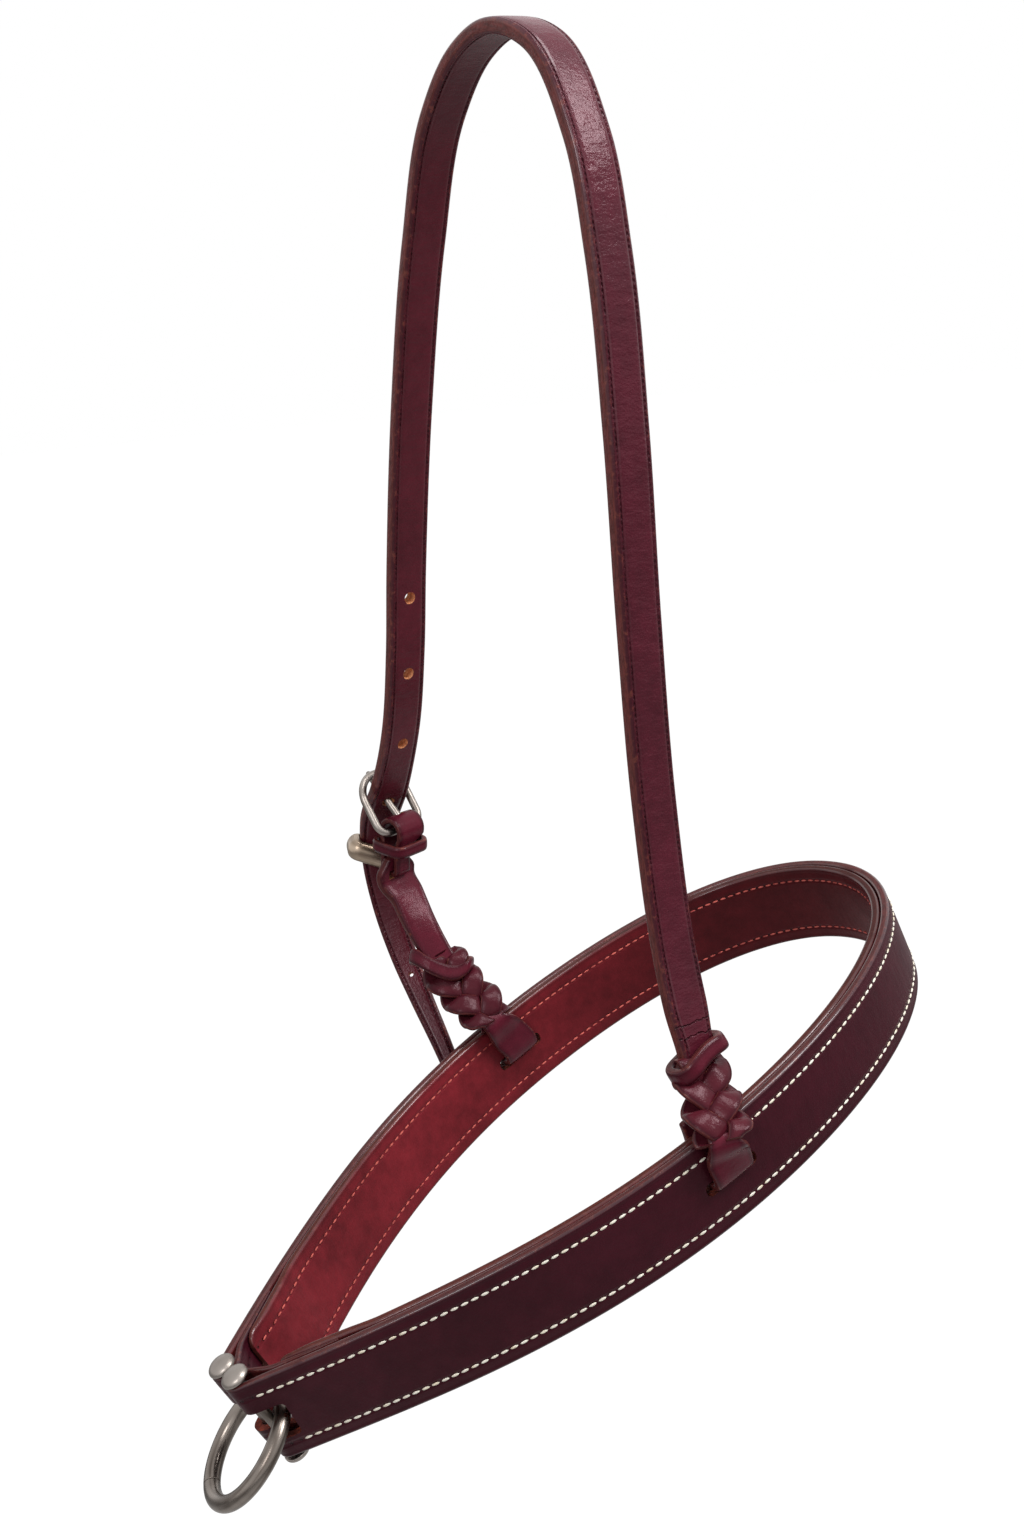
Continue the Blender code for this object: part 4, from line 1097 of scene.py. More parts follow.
@dataclass
class Noseband:
    """The two-ply band with its folded ends, its slots, its stitching, its pins and its ring."""

    shop: Workshop
    centre: Triple = (-0.0322, -0.0042, -0.3681)
    turn: Triple = (math.radians(-8.04), math.radians(-18.37), math.radians(1.66))
    nose_reach: float = 0.1745
    widest_at: float = 0.0557
    half_span: float = 0.0736
    pulls: tuple[float, float, float, float] = (0.0655, 0.0664, 0.0655, 0.0459)
    cheek_angle: float = math.radians(34.5)
    post_reach: float = 0.1140
    post_radius: float = 0.00175
    post_room: float = 0.00025
    fold_thickness: float = 0.0027
    end_lean: float = 0.127
    lean_length: float = 0.090
    return_length: float = 0.034
    return_edge: float = 0.0009
    return_close: float = 0.013
    lining_setback: float = 0.012
    lining_edge: float = 0.0016
    lining_corner: float = 0.005
    lining_ease: float = 0.014
    head_radius: float = 0.0046
    head_rise: float = 0.0023
    head_rim: float = 0.0005
    rim_ease: tuple[tuple[float, float], ...] = ((0.0, 0.00018), (0.00012, 0.00003), (0.0003, 0.0))
    shank_room: float = 0.00007
    bore_radius: float = 0.0011
    bore_depth: float = 0.012
    screw_radius: float = 0.0009
    driver_slot: tuple[float, float] = (0.0008, 0.0014)
    notch: tuple[float, float] = (0.0049, -0.0084)
    notch_room: float = 0.0009
    notch_squash: float = 0.93
    notch_rounding: float = 0.0016
    slot_size: tuple[float, float] = (0.0210, 0.0046)
    slot_corner: float = 0.0018
    near_slot_at: float = 0.1650
    far_slot_at: float = 0.1840
    ring_radius: float = 0.01865
    ring_wire: float = 0.00276
    ring_normal: Triple = (0.427, -0.149, -0.892)
    ring_seam: float = math.radians(212)
    ring_gap: float = 0.00012
    ring_rounding: float = 0.00030
    stitch_starts: tuple[float, float] = (0.0018, 0.0050)
    stitch_size: Triple = (0.0027, 0.00092, 0.00062)
    stitch_lift: float = 0.00005
    stitch_lean: float = 0.07
    lining_stitch_size: Triple = (0.0024, 0.00075, 0.00050)
    lining_stitch_setback: float = 0.004
    spacing: float = 0.0018
    form: StrapForm = field(default_factory=lambda: StrapForm(
        corner=0.0008, pillow=0.0001, crease_at=0.0019, crease_gap=0.0005, crease_depth=0.00010))

    def __post_init__(self) -> None:
        """Work out the band's frame and the middle line of its loop."""
        self.to_world = Matrix.Translation(self.centre) @ Euler(self.turn).to_matrix().to_4x4()
        self.fold_outer = self.post_radius + self.post_room + self.fold_thickness
        self.fold_middle = self.fold_outer - self.fold_thickness / 2
        self.post_spread = self.fold_outer + SEAT_GAP / 2
        self.ring_centre = Vector((-self.post_reach - 0.0085, 0.0035, -0.0095))
        self.route = self.loop_route()

    def loop_route(self) -> Route:
        """The middle of the band, from the near ring end round the nose to the far ring end.

        Returns:
            The route.
        """
        side_pull, front_pull, rear_pull, nose_pull = self.pulls

        def half(side: int) -> tuple[list[Vector], list[Vector]]:
            """The cheek arc and the front arc of one side.

            Args:
                side: -1 for the near side, 1 for the far side.

            Returns:
                The two arcs.
            """
            away = Vector((-math.sin(self.cheek_angle), side * math.cos(self.cheek_angle), 0))
            back = Vector((math.cos(self.cheek_angle), side * math.sin(self.cheek_angle), 0))
            post = Vector((-self.post_reach, side * self.post_spread, 0))
            rear = post + away * (self.fold_outer - BAND_FACE)
            widest = Vector((self.widest_at, side * self.half_span, 0))
            nose = Vector((self.nose_reach, 0, 0))
            cheek = [rear, rear + back * rear_pull, widest - Vector((front_pull, 0, 0)), widest]
            front = [widest, widest + Vector((side_pull, 0, 0)),
                     nose + Vector((0, side * nose_pull, 0)), nose]
            return cheek, front

        near_cheek, near_front = half(-1)
        far_cheek, far_front = half(1)
        return bezier_route([near_cheek, near_front, far_front[::-1], far_cheek[::-1]], 90)

    def from_end(self, distance: float) -> float:
        """How far a place along the loop is from the nearer ring end."""
        return min(distance, self.route.length - distance)

    def height_axis(self, distance: float) -> Vector:
        """Up the band's width: upright, but leaning out at the ring end."""
        return Vector((-self.end_lean * ease(1 - self.from_end(distance) / self.lean_length), 0, 1))

    def outward(self, distance: float) -> Vector:
        """Out of the loop."""
        direction = self.route.direction(distance)
        return Vector((direction.y, -direction.x, 0))

    def station(self, distance: float, offset: float, thickness: float,
                width: float = BAND_WIDTH) -> Station:
        """A cross-section at a distance along the loop and an offset out of its middle.

        Args:
            distance: That distance.
            offset: That offset.
            thickness: Its thickness.
            width: Its width.

        Returns:
            The cross-section.
        """
        out = self.outward(distance)
        centre = self.route.point(distance) + out * offset
        return Station(centre, self.height_axis(distance), out, width, thickness)

    def return_thickness(self, reach: float) -> float:
        """Thickness of the folded-back run, skived down to its tip."""
        change = self.return_edge - self.fold_thickness
        return self.fold_thickness + change * reach / self.return_length

    def return_offset(self, reach: float) -> float:
        """Middle of the folded-back run: off the post, then flat against the outer ply.

        Args:
            reach: How far off the ring end.

        Returns:
            Its offset out of the loop's middle.
        """
        at_post = BAND_FACE - self.fold_outer - self.fold_middle
        closed = BAND_FACE - PLY_THICKNESS - SEAT_GAP - self.return_thickness(reach) / 2
        return between(at_post, closed, ease(reach / self.return_close))

    def fold(self, end: int) -> tuple[list[Station], list[Station]]:
        """The folded end of the outer ply: its run back, and the bend round its post.

        Args:
            end: -1 for the near end, 1 for the far end.

        Returns:
            The sections of both.
        """
        def at(reach: float) -> float:
            """A distance along the loop from a distance off this end."""
            return reach if end < 0 else self.route.length - reach

        run = []
        for reach in steps(self.return_length, 0.0, 0.0012)[:-1]:
            station = self.station(at(reach), self.return_offset(reach),
                                   self.return_thickness(reach))
            station.out = -station.out
            run.append(station)
        away = self.outward(at(0.0))
        tip = Vector((-math.cos(self.cheek_angle), -end * math.sin(self.cheek_angle), 0))
        post = Vector((-self.post_reach, end * self.post_spread, 0))
        bend = []
        for turn in steps(0, math.pi, math.pi / 24):
            facing = tip * math.sin(turn) - away * math.cos(turn)
            bend.append(Station(post + facing * self.fold_middle, self.height_axis(at(0.0)), facing,
                                BAND_WIDTH, self.fold_thickness))
        return run, bend[:-1]

    def slot_block(self, distance: float) -> bmesh.types.BMesh:
        """The space of one slot, through both plies.

        Args:
            distance: How far along the loop.

        Returns:
            The space.
        """
        axes = (self.route.direction(distance), self.outward(distance), Vector((0, 0, 1)))
        size = (self.slot_size[0], 8 * BAND_FACE, self.slot_size[1])
        shape = block(self.route.point(distance), axes, size, self.slot_corner, 1)
        return moved(shape, self.to_world)

    def slots(self) -> list[bmesh.types.BMesh]:
        """The spaces of both slots."""
        return [self.slot_block(self.near_slot_at),
                self.slot_block(self.route.length - self.far_slot_at)]

    def notch_disc(self) -> bmesh.types.BMesh:
        """The space of the notch: as high as the ring's swing needs, and round like the ring.

        Returns:
            The space.
        """
        top, bottom = self.notch
        shape = bmesh.new()
        bmesh.ops.create_cone(shape, cap_ends=True, segments=96, radius1=1.0, radius2=1.0,
                              depth=1.0)
        room = self.ring_radius + self.ring_wire + self.notch_room
        bmesh.ops.scale(shape, vec=(room * self.notch_squash, room, top - bottom),
                        verts=shape.verts)
        rims = [edge for edge in shape.edges if abs(edge.verts[0].co.z - edge.verts[1].co.z) < 1e-6]
        round_over(shape, rims, self.notch_rounding, 5)
        centre = self.ring_centre.copy()
        centre.z = (top + bottom) / 2
        return moved(shape, self.to_world @ Matrix.Translation(centre))

    def make_outer_ply(self) -> None:
        """The outer ply, folded round both posts and notched for the ring."""
        near_run, near_bend = self.fold(-1)
        far_run, far_bend = self.fold(1)
        body = []
        for distance in steps(0.0, self.route.length, self.spacing):
            grow = ease(self.from_end(distance) / self.return_close)
            thickness = between(self.fold_thickness, PLY_THICKNESS, grow)
            body.append(self.station(distance, BAND_FACE - thickness / 2, thickness))
        stations = near_run + near_bend + body + far_bend[::-1] + far_run[::-1]
        shape = moved(swept(stations, self.form), self.to_world)
        self.shop.piece("finished_outer_ply", shape, self.shop.finishes.band, Body.NOSEBAND,
                        ["band_outer_ply"], [self.notch_disc(), *self.slots()],
                        self.shop.finishes.raw_dark)

    def lining_section(self, distance: float) -> Triple:
        """The lining's middle offset, its thickness and its width at a distance along the loop.

        Args:
            distance: That distance.

        Returns:
            The three sizes.
        """
        reach = self.from_end(distance)
        past_end = reach - self.lining_setback
        thickness = between(self.lining_edge, PLY_THICKNESS, ease(past_end / self.lining_ease))
        under = BAND_FACE - PLY_THICKNESS - SEAT_GAP
        if reach < self.return_length:
            run = self.return_thickness(reach)
            face = min(under, self.return_offset(reach) - run / 2) - SEAT_GAP
        else:
            rise = ease(1 - (reach - self.return_length) / self.lining_ease)
            face = under - (self.return_edge + SEAT_GAP) * rise
        cut_back = self.lining_corner - min(past_end, self.lining_corner)
        chord = math.sqrt(max(self.lining_corner ** 2 - cut_back ** 2, 0.0))
        return face - thickness / 2, thickness, BAND_WIDTH - 2 * (self.lining_corner - chord)

    def make_lining(self) -> None:
        """The inner ply, which rides over the folded-back runs and stops short of the posts."""
        length = self.route.length
        corner = [self.lining_setback + self.lining_corner * (1 - math.cos(turn))
                  for turn in steps(0, math.pi / 2, math.pi / 16)]
        middle = steps(corner[-1], length - corner[-1], self.spacing)[1:-1]
        distances = corner + middle + [length - distance for distance in reversed(corner)]
        stations = []
        for distance in distances:
            offset, thickness, width = self.lining_section(distance)
            stations.append(self.station(distance, offset, thickness, width))
        shape = moved(swept(stations, self.form), self.to_world)
        self.shop.piece("finished_lining", shape, self.shop.finishes.lining, Body.NOSEBAND,
                        ["band_lining"], self.slots(), self.shop.finishes.raw_dark)

    def stitch_place(self, distance: float, offset: float, height: float) -> Matrix:
        """Where one stitch lies on a face of the band.

        Args:
            distance: Its middle, along the loop.
            offset: How far out of the loop's middle line it lies.
            height: Its row, up the band's width.

        Returns:
            Its place, with X along the row and Z out of the face.
        """
        along, out = self.route.direction(distance), self.outward(distance)
        up = out.cross(along) * -1
        lean = self.stitch_lean * noise.noise(Vector((distance * 900, height * 500, offset * 900)))
        along = (along + up * lean).normalized()
        centre = self.route.point(distance) + out * offset + self.height_axis(distance) * height
        turn = Matrix((along, along.cross(out), out)).transposed().to_4x4()
        return self.to_world @ Matrix.Translation(centre) @ turn

    @staticmethod
    def sewn(places: Iterable[Matrix], size: Triple) -> bmesh.types.BMesh:
        """One shape of many equal stitches.

        Args:
            places: Where each stitch lies.
            size: The length, width and height of a stitch.

        Returns:
            The shape.
        """
        single, shape = bmesh.new(), bmesh.new()
        bmesh.ops.create_uvsphere(single, u_segments=8, v_segments=6, radius=0.5)
        bmesh.ops.scale(single, vec=size, verts=single.verts)
        mesh = bpy.data.meshes.new("stitch")
        for place in places:
            moved(single, place).to_mesh(mesh)
            shape.from_mesh(mesh)
            moved(single, place.inverted())
        single.free()
        bpy.data.meshes.remove(mesh)
        return shape

    def make_stitching(self) -> None:
        """Both rows of thread on the outer face, and the same rows on the lining."""
        outside, inside = [], []
        length = self.route.length
        for height, start in zip((STITCH_ROW, -STITCH_ROW), self.stitch_starts):
            first = math.ceil(start / STITCH_PITCH)
            for index in range(first, first + int((length - 2 * start) / STITCH_PITCH)):
                distance = (index + 0.5) * STITCH_PITCH
                outside.append(self.stitch_place(distance, BAND_FACE + self.stitch_lift, height))
                if self.from_end(distance) > self.lining_setback + self.lining_stitch_setback:
                    offset, thickness, _ = self.lining_section(distance)
                    inside.append(self.stitch_place(distance, offset - thickness / 2, height))
        self.shop.piece("cream_stitches", self.sewn(outside, self.stitch_size),
                        self.shop.finishes.cream, Body.NOSEBAND)
        self.shop.piece("lining_stitches", self.sewn(inside, self.lining_stitch_size),
                        self.shop.finishes.pink, Body.NOSEBAND)

    def make_pin(self, name: str, end: int, body: Body) -> None:
        """A screwed post: a domed tube above and a slotted, domed screw below.

        Args:
            name: Which pin it is.
            end: The side of the band that it is on.
            body: The body that it turns as.
        """
        axis = Vector((-self.end_lean, 0, 1)).normalized()
        place = Vector((-self.post_reach, end * self.post_spread, 0))
        upright = axis.to_track_quat("Z", "Y").to_matrix().to_4x4()
        seat = BAND_WIDTH / 2 / axis.z + self.head_radius * self.end_lean + SEAT_GAP
        dome = [(self.head_radius * math.cos(turn),
                 seat + self.head_rim + self.head_rise * math.sin(turn))
                for turn in steps(math.pi / 2, 0, math.pi / 32)]
        dome[0] = (0, dome[0][1])
        rim = self.head_radius
        under = [(rim - inward, seat + rise) for inward, rise in self.rim_ease]
        bore, shank_top = self.bore_radius, self.bore_depth - seat
        shank = self.post_radius - self.shank_room
        tube = dome + under + [(shank, seat), (shank, SEAT_GAP - seat),
                               (bore, SEAT_GAP - seat), (bore, shank_top + SEAT_GAP),
                               (0, shank_top + SEAT_GAP)]
        screw = [(radius, -height) for radius, height in dome + under]
        screw += [(self.screw_radius, -seat), (self.screw_radius, shank_top), (0, shank_top)]
        matrix = self.to_world @ Matrix.Translation(place) @ upright
        for part, outline in (("post", tube), ("screw", screw)):
            cutters = []
            if part == "screw":
                crest = Vector((0, 0, -seat - self.head_rim - self.head_rise))
                cut = block(crest, Matrix.Identity(3), (3 * rim, *self.driver_slot), 0, 1)
                cutters = [moved(cut, matrix)]
            self.shop.piece(f"finished_{name}_{part}", moved(turned(outline), matrix),
                            self.shop.finishes.steel, body, [f"{name}_pin_{part}"], cutters)

    def make_ring(self) -> None:
        """The loose ring of round wire, with the butt joint where its ends meet."""
        centre = self.ring_centre
        normal = Vector(self.ring_normal).normalized()
        rearward = square_to(normal, Vector((1, 0, 0)))
        across = normal.cross(rearward)
        gap = self.ring_gap / self.ring_radius
        wire = []
        for turn in steps(self.ring_seam + gap, self.ring_seam + 2 * math.pi - gap, math.pi / 72):
            facing = rearward * math.cos(turn) + across * math.sin(turn)
            wire.append(Station(centre + facing * self.ring_radius, normal, facing,
                                2 * self.ring_wire, 2 * self.ring_wire))
        shape = swept(rounded_ends(wire, True, True, self.ring_rounding), WireForm(36))
        self.shop.piece("finished_ring", moved(shape, self.to_world), self.shop.finishes.ring_steel,
                        Body.RING, ["tie_down_ring"])

    def seat(self, distance: float) -> tuple[Vector, Vector, Vector, Vector]:
        """World places at a slot: its centre, and the ways out, up and along the band.

        Args:
            distance: How far along the loop.

        Returns:
            The centre and the three ways.
        """
        turn = self.to_world.to_3x3()
        return (self.to_world @ self.route.point(distance), turn @ self.outward(distance),
                turn @ Vector((0, 0, 1)), turn @ self.route.direction(distance))

    def make(self) -> None:
        """Build every piece of the noseband's band."""
        self.make_outer_ply()
        self.make_lining()
        self.make_stitching()
        self.make_pin("near", -1, Body.NEAR_PIN)
        self.make_pin("far", 1, Body.FAR_PIN)
        self.make_ring()


# The plaits


@dataclass(frozen=True)
class Collar:
    """How a plait's collar lies: the width of its strap, its lift, its tilt and how far it sags."""

    strap_width: float
    lift: float
    slant: float
    sag: float


@dataclass
class Plait:
    """Three strands plaited from a strap's end, the collar over their roots and the slot loop."""

    shop: Workshop
    name: str
    strap_end: Vector
    strap_direction: Vector
    foot_place: Triple
    top_side: Vector
    hand: int
    face: int
    seat: tuple[Vector, Vector, Vector, Vector]
    collar: Collar
    turns: float = 5 / 6
    strands: int = 3
    head_start: float = 0.0025
    tail_run: float = 0.0030
    strand_width: float = 0.0084
    strand_end_width: float = 0.0054
    strand_thickness: float = 0.0027
    swing: float = 0.0064
    depth: float = 0.0026
    squareness: float = 0.6
    start_gap: float = 0.0012
    end_blend: float = 0.005
    collar_width: float = 0.0058
    collar_thickness: float = 0.0034
    collar_spare: float = 0.0016
    collar_depth: float = 0.0013
    collar_corner: float = 0.0046
    loop_thickness: float = 0.0030
    loop_clearance: float = 0.0008
    loop_crest: float = 0.0040
    loop_end_width: float = 0.0100
    loop_spacing: float = 0.0008
    loop_rounding: float = 0.0007
    slot_height: float = 0.0046
    strand_form: StrapForm = field(default_factory=lambda: StrapForm(
        corner=0.0010, pillow=0.0009, crease_at=0.0014))
    strap_form: StrapForm = field(default_factory=lambda: StrapForm(corner=0.0007, pillow=0.0002))
    collar_form: StrapForm = field(default_factory=lambda: StrapForm(corner=0.0011, pillow=0.0006))

    def __post_init__(self) -> None:
        """Work out the plait's middle line."""
        top = self.strap_end + self.strap_direction * self.start_gap
        away, drift, rise = self.foot_place
        centre, out, up, along = self.seat
        self.foot = (centre + out * (self.face * (BAND_FACE + away)) + along * drift
                     + up * (BAND_WIDTH / 2 + rise))
        chord = self.foot - top
        self.route = bezier_route([(top, top + self.strap_direction * (chord.length / 3),
                                    self.foot - chord / 3, self.foot)])
        self.length = self.route.length
        self.band_side = along if along.x > 0 else -along

    def axes(self, reach: float) -> tuple[Vector, Vector, Vector]:
        """Ways along, across and out of the plait at a distance down it.

        Args:
            reach: That distance.

        Returns:
            The three ways.
        """
        along = self.route.direction(reach)
        share = min(max(0.0, reach / self.length), 1.0)
        side = square_to(along, self.top_side.lerp(self.band_side, share))
        return along, side, side.cross(along)

    def strand_centre(self, strand: int, reach: float) -> Vector:
        """Middle of one strand: it swings from edge to edge, over and under its fellows.

        Args:
            strand: Which strand.
            reach: How far down the plait.

        Returns:
            Its middle.
        """
        phase = 2 * math.pi * (reach / self.length * self.turns + strand / self.strands)
        wave = math.sin(2 * phase)
        depth = math.copysign(abs(wave) ** self.squareness, wave) * self.depth
        _, side, out = self.axes(reach)
        swing = self.hand * math.sin(phase) * self.swing
        return self.route.point(reach) + side * swing + out * depth

    def make_strands(self) -> None:
        """The three strands of the plait."""
        first, last = -self.head_start, self.length + self.tail_run
        nudge = self.length / 60
        for strand in range(self.strands):
            stations = []
            for reach in steps(first, last, self.length / 84):
                centre = self.strand_centre(strand, reach)
                travel = (self.strand_centre(strand, reach + nudge)
                          - self.strand_centre(strand, reach - nudge)).normalized()
                from_end = ease(min(reach - first, last - reach) / self.end_blend)
                along, _, out = self.axes(reach)
                travel = along.lerp(travel, from_end).normalized()
                out = square_to(travel, out)
                width = between(self.strand_end_width, self.strand_width, from_end)
                stations.append(Station(centre, travel.cross(out), out, width,
                                        self.strand_thickness))
            self.make_piece(f"strand_{strand + 1}", f"plait_strand_{strand + 1}",
                            swept(stations, self.strand_form))

    def make_collar(self) -> None:
        """The flat turn of leather round the strap's end, bowed down the plait in front."""
        slant = self.collar.slant
        along, level, outward = self.axes(0.0)
        across = level * math.cos(slant) + along * math.sin(slant)
        centre = self.route.point(0.0) - along * self.collar.lift
        half_across = (self.collar.strap_width / 2 / math.cos(slant) + self.collar_spare
                       + self.collar_width / 2 * math.tan(abs(slant)))
        half_outward = self.depth + self.collar_depth + self.collar_spare
        stations = loop_stations(centre, across, outward, half_across, half_outward,
                                 [self.collar_corner] * 4, self.collar_width,
                                 self.collar_thickness, 18)
        run = []
        for station in steps_between(stations):
            share = (station.centre - centre).dot(across) / half_across
            front = ease(-(station.centre - centre).dot(outward) / half_outward)
            station.centre = station.centre + along * (
                self.collar.sag * front * (1 - share * share))
            run.append(station)
        self.make_piece("collar", "plait_collar", swept(run, self.collar_form, closed=True))

    def make_slot_loop(self) -> None:
        """The loop from the plait's foot down one face, through the slot and up the other face."""
        centre, out, up, along = self.seat
        foot, face = self.foot - centre, self.face
        foot_out, foot_height, foot_drift = face * foot.dot(out), foot.dot(up), foot.dot(along)
        plait_end, foot_side, _ = self.axes(self.length)
        lead_out, lead_up = face * plait_end.dot(out), plait_end.dot(up)
        bend = self.loop_thickness / 2 + self.loop_clearance
        slant = bend * math.sqrt(0.5)
        hug, edge = BAND_FACE + bend, self.slot_height / 2
        crest, lead = BAND_WIDTH / 2 + self.loop_crest, self.loop_thickness * 0.8
        lead_away = foot_out + lead_out * lead
        lead_drift = foot_drift + plait_end.dot(along) * lead
        places = [(foot_out + lead_out * SEAT_GAP, foot_drift, foot_height + lead_up * SEAT_GAP),
                  (lead_away, lead_drift, foot_height + lead_up * lead),
                  (between(hug, lead_away, 0.4), lead_drift * 0.4, foot_height * 0.5),
                  (hug, 0, edge),
                  (BAND_FACE + slant, 0, edge - slant), (BAND_FACE, 0, edge - bend),
                  (0, 0, edge - bend), (-BAND_FACE, 0, edge - bend),
                  (-BAND_FACE - slant, 0, edge - slant), (-hug, 0, edge),
                  (-hug, 0, foot_height * 0.5), (-hug, 0, crest)]
        route = smooth_route([(face * away, drift, height) for away, drift, height in places])
        stations = []
        for distance in steps(0, route.length, self.loop_spacing):
            point, travel = route.point(distance), route.direction(distance)
            rise = 0.0
            if distance < route.length / 2:
                rise = ease((point.z - edge) / (foot_height - edge))
                narrow = ease((point.z / foot_height - 0.45) / 0.55)
            else:
                narrow = ease(point.z / crest)
            width = between(STRAP_WIDTH, self.loop_end_width, narrow)
            middle = centre + out * point.x + along * point.y + up * point.z
            travel = out * travel.x + along * travel.y + up * travel.z
            side = square_to(travel, self.band_side.lerp(foot_side, rise))
            stations.append(Station(middle, side, travel.cross(side), width, self.loop_thickness))
        eased = rounded_ends(stations, False, True, self.loop_rounding)
        self.make_piece("slot_loop", "slot_loop", swept(eased, self.strap_form))

    def make_piece(self, part: str, node: str, shape: bmesh.types.BMesh) -> None:
        """One finished piece of this plait, in place of its CAD node."""
        self.shop.piece(f"finished_{self.name}_{part}", shape, self.shop.finishes.knot,
                        Body.NOSEBAND, [f"{self.name}_{node}"])

    def make(self) -> None:
        """Build every piece of the plait."""
        self.make_strands()
        self.make_collar()
        self.make_slot_loop()


# The buckle, its link and the straps that meet there


@dataclass
class Buckle:
    """The wire frame, its tongue, the link round its heel bar and the link's neck band."""

    shop: Workshop
    heel: Vector = field(default_factory=lambda: Vector((0.0008, 0.1081, -0.2725)))
    yaw: float = math.radians(12.5)
    frame_lean: float = math.radians(30.5)
    wire: float = 0.0015
    half_width: float = 0.0110
    height: float = 0.0240
    frame_corners: tuple[float, ...] = (0.0100, 0.0100, 0.0050, 0.0050)
    tongue_width: float = 0.0028
    tongue_overhang: float = 0.0025
    tongue_room: float = 0.0020
    eye_thickness: float = 0.0012
    eye_end: float = math.radians(440)
    link_lean: float = math.radians(-7)
    link_drift: float = -0.0039
    link_width: float = 0.0136
    neck_width: float = 0.0074
    link_thickness: float = 0.0024
    link_length: float = 0.0169
    link_corner: float = 0.0016
    link_slot_width: float = 0.0038
    neck_start: float = 0.0018
    neck_length: float = 0.0055
    hanger_thickness: float = 0.0038
    hanger_room: float = 0.0005
    neck_band_width: float = 0.0047
    neck_band_thickness: float = 0.0024
    neck_band_corner: float = 0.0036
    neck_band_drop: float = 0.0062
    neck_band_slack: float = 0.0006
    form: StrapForm = field(default_factory=lambda: StrapForm(corner=0.0007, pillow=0.0002))
    band_form: StrapForm = field(default_factory=lambda: StrapForm(corner=0.0011, pillow=0.0006))

    def __post_init__(self) -> None:
        """Work out the buckle's directions and the places of its parts."""
        self.bar = Vector((math.cos(self.yaw), math.sin(self.yaw), 0))
        self.up = self.leaning(self.frame_lean)
        self.out = self.up.cross(self.bar)
        self.down = -self.leaning(self.link_lean)
        self.link_out = self.bar.cross(self.down)
        self.eye = self.heel + self.down * self.link_length + self.bar * self.link_drift
        self.tongue_eye = self.wire + SEAT_GAP + self.eye_thickness / 2
        self.roll = (self.tongue_eye + self.eye_thickness / 2 + 2 * SEAT_GAP
                     + self.link_thickness / 2)
        self.leg = self.hanger_thickness / 2 + self.hanger_room + self.link_thickness / 2

    def leaning(self, lean: float) -> Vector:
        """Up, leaning outward by an angle in the plane square to the heel bar."""
        outward = Vector((-math.sin(self.yaw), math.cos(self.yaw), 0))
        return outward * math.sin(lean) + Vector((0, 0, math.cos(lean)))

    def make_frame(self) -> None:
        """The frame of round wire."""
        centre = self.heel + self.up * (self.height / 2)
        stations = loop_stations(centre, self.bar, self.up, self.half_width, self.height / 2,
                                 self.frame_corners, 2 * self.wire, 2 * self.wire)
        self.shop.piece("finished_buckle_frame", swept(stations, WireForm(), closed=True),
                        self.shop.finishes.steel, Body.FRAME, ["buckle_frame"])

    def tongue_arm(self) -> tuple[Vector, Vector]:
        """Start and end of the tongue's arm: off the heel bar's inner side, over the top bar.

        Returns:
            The two places.
        """
        rest = self.wire + SEAT_GAP + self.tongue_width / 2
        start = self.heel - self.out * self.tongue_eye
        over_bar = self.heel + self.up * self.height + self.out * rest
        return start, over_bar + (over_bar - start).normalized() * self.tongue_overhang

    def tongue_middle(self) -> Vector:
        """The middle of the tongue's arm."""
        start, tip = self.tongue_arm()
        return start.lerp(tip, 0.5)

    def make_tongue(self) -> None:
        """The tongue: a flat eye round the heel bar, then a straight round arm with a domed tip."""
        start, tip = self.tongue_arm()
        stations = []
        for turn in steps(self.eye_end, math.pi, math.radians(9))[:-1]:
            facing = self.out * math.cos(turn) + self.up * math.sin(turn)
            stations.append(Station(self.heel + facing * self.tongue_eye, self.bar, facing,
                                    self.tongue_width, self.eye_thickness))
        stations.append(Station(start, self.bar, -self.out, self.tongue_width, self.eye_thickness))
        facing = (tip - start).cross(self.bar).normalized() * -1
        profile = ((0.06, 1.0, 0.55), (0.13, 1.0, 0.8), (0.22, 1.0, 1.0), (0.5, 1.0, 1.0),
                   (0.75, 1.0, 1.0), (0.90, 0.95, 0.95), (0.95, 0.86, 0.86), (0.98, 0.68, 0.68),
                   (0.995, 0.42, 0.42), (1.0, 0.15, 0.15))
        for share, wide, thick in profile:
            stations.append(Station(start.lerp(tip, share), self.bar, facing,
                                    self.tongue_width * wide, self.tongue_width * thick))
        self.shop.piece("finished_tongue", swept(stations, WireForm()), self.shop.finishes.steel,
                        Body.TONGUE, ["buckle_tongue"])

    def tongue_path(self) -> bmesh.types.BMesh:
        """The space that the tongue's arm needs through the strap.

        Returns:
            The space.
        """
        start, tip = self.tongue_arm()
        width = self.tongue_width + self.tongue_room
        facing = (tip - start).cross(self.bar).normalized()
        ends = [Station(end, self.bar, facing, width, width) for end in (start, tip)]
        return swept(ends, WireForm())

    def leg_away(self, drop: float) -> float:
        """How far a leg of the link stands off its middle plane at a drop below the heel bar."""
        return between(self.roll, self.leg, ease(2 * drop / self.link_length))

    def link_station(self, drop: float, away: float) -> tuple[Vector, float]:
        """Centre and width of the link at a drop: below the roll it narrows and drifts sideways.

        Args:
            drop: How far below the heel bar.
            away: How far off its middle plane.

        Returns:
            The centre and the width.
        """
        neck = ease((drop - self.neck_start) / self.neck_length)
        centre = (self.heel + self.down * drop + self.link_out * away
                  + self.bar * (self.link_drift * neck))
        return centre, between(self.link_width, self.neck_width, neck)

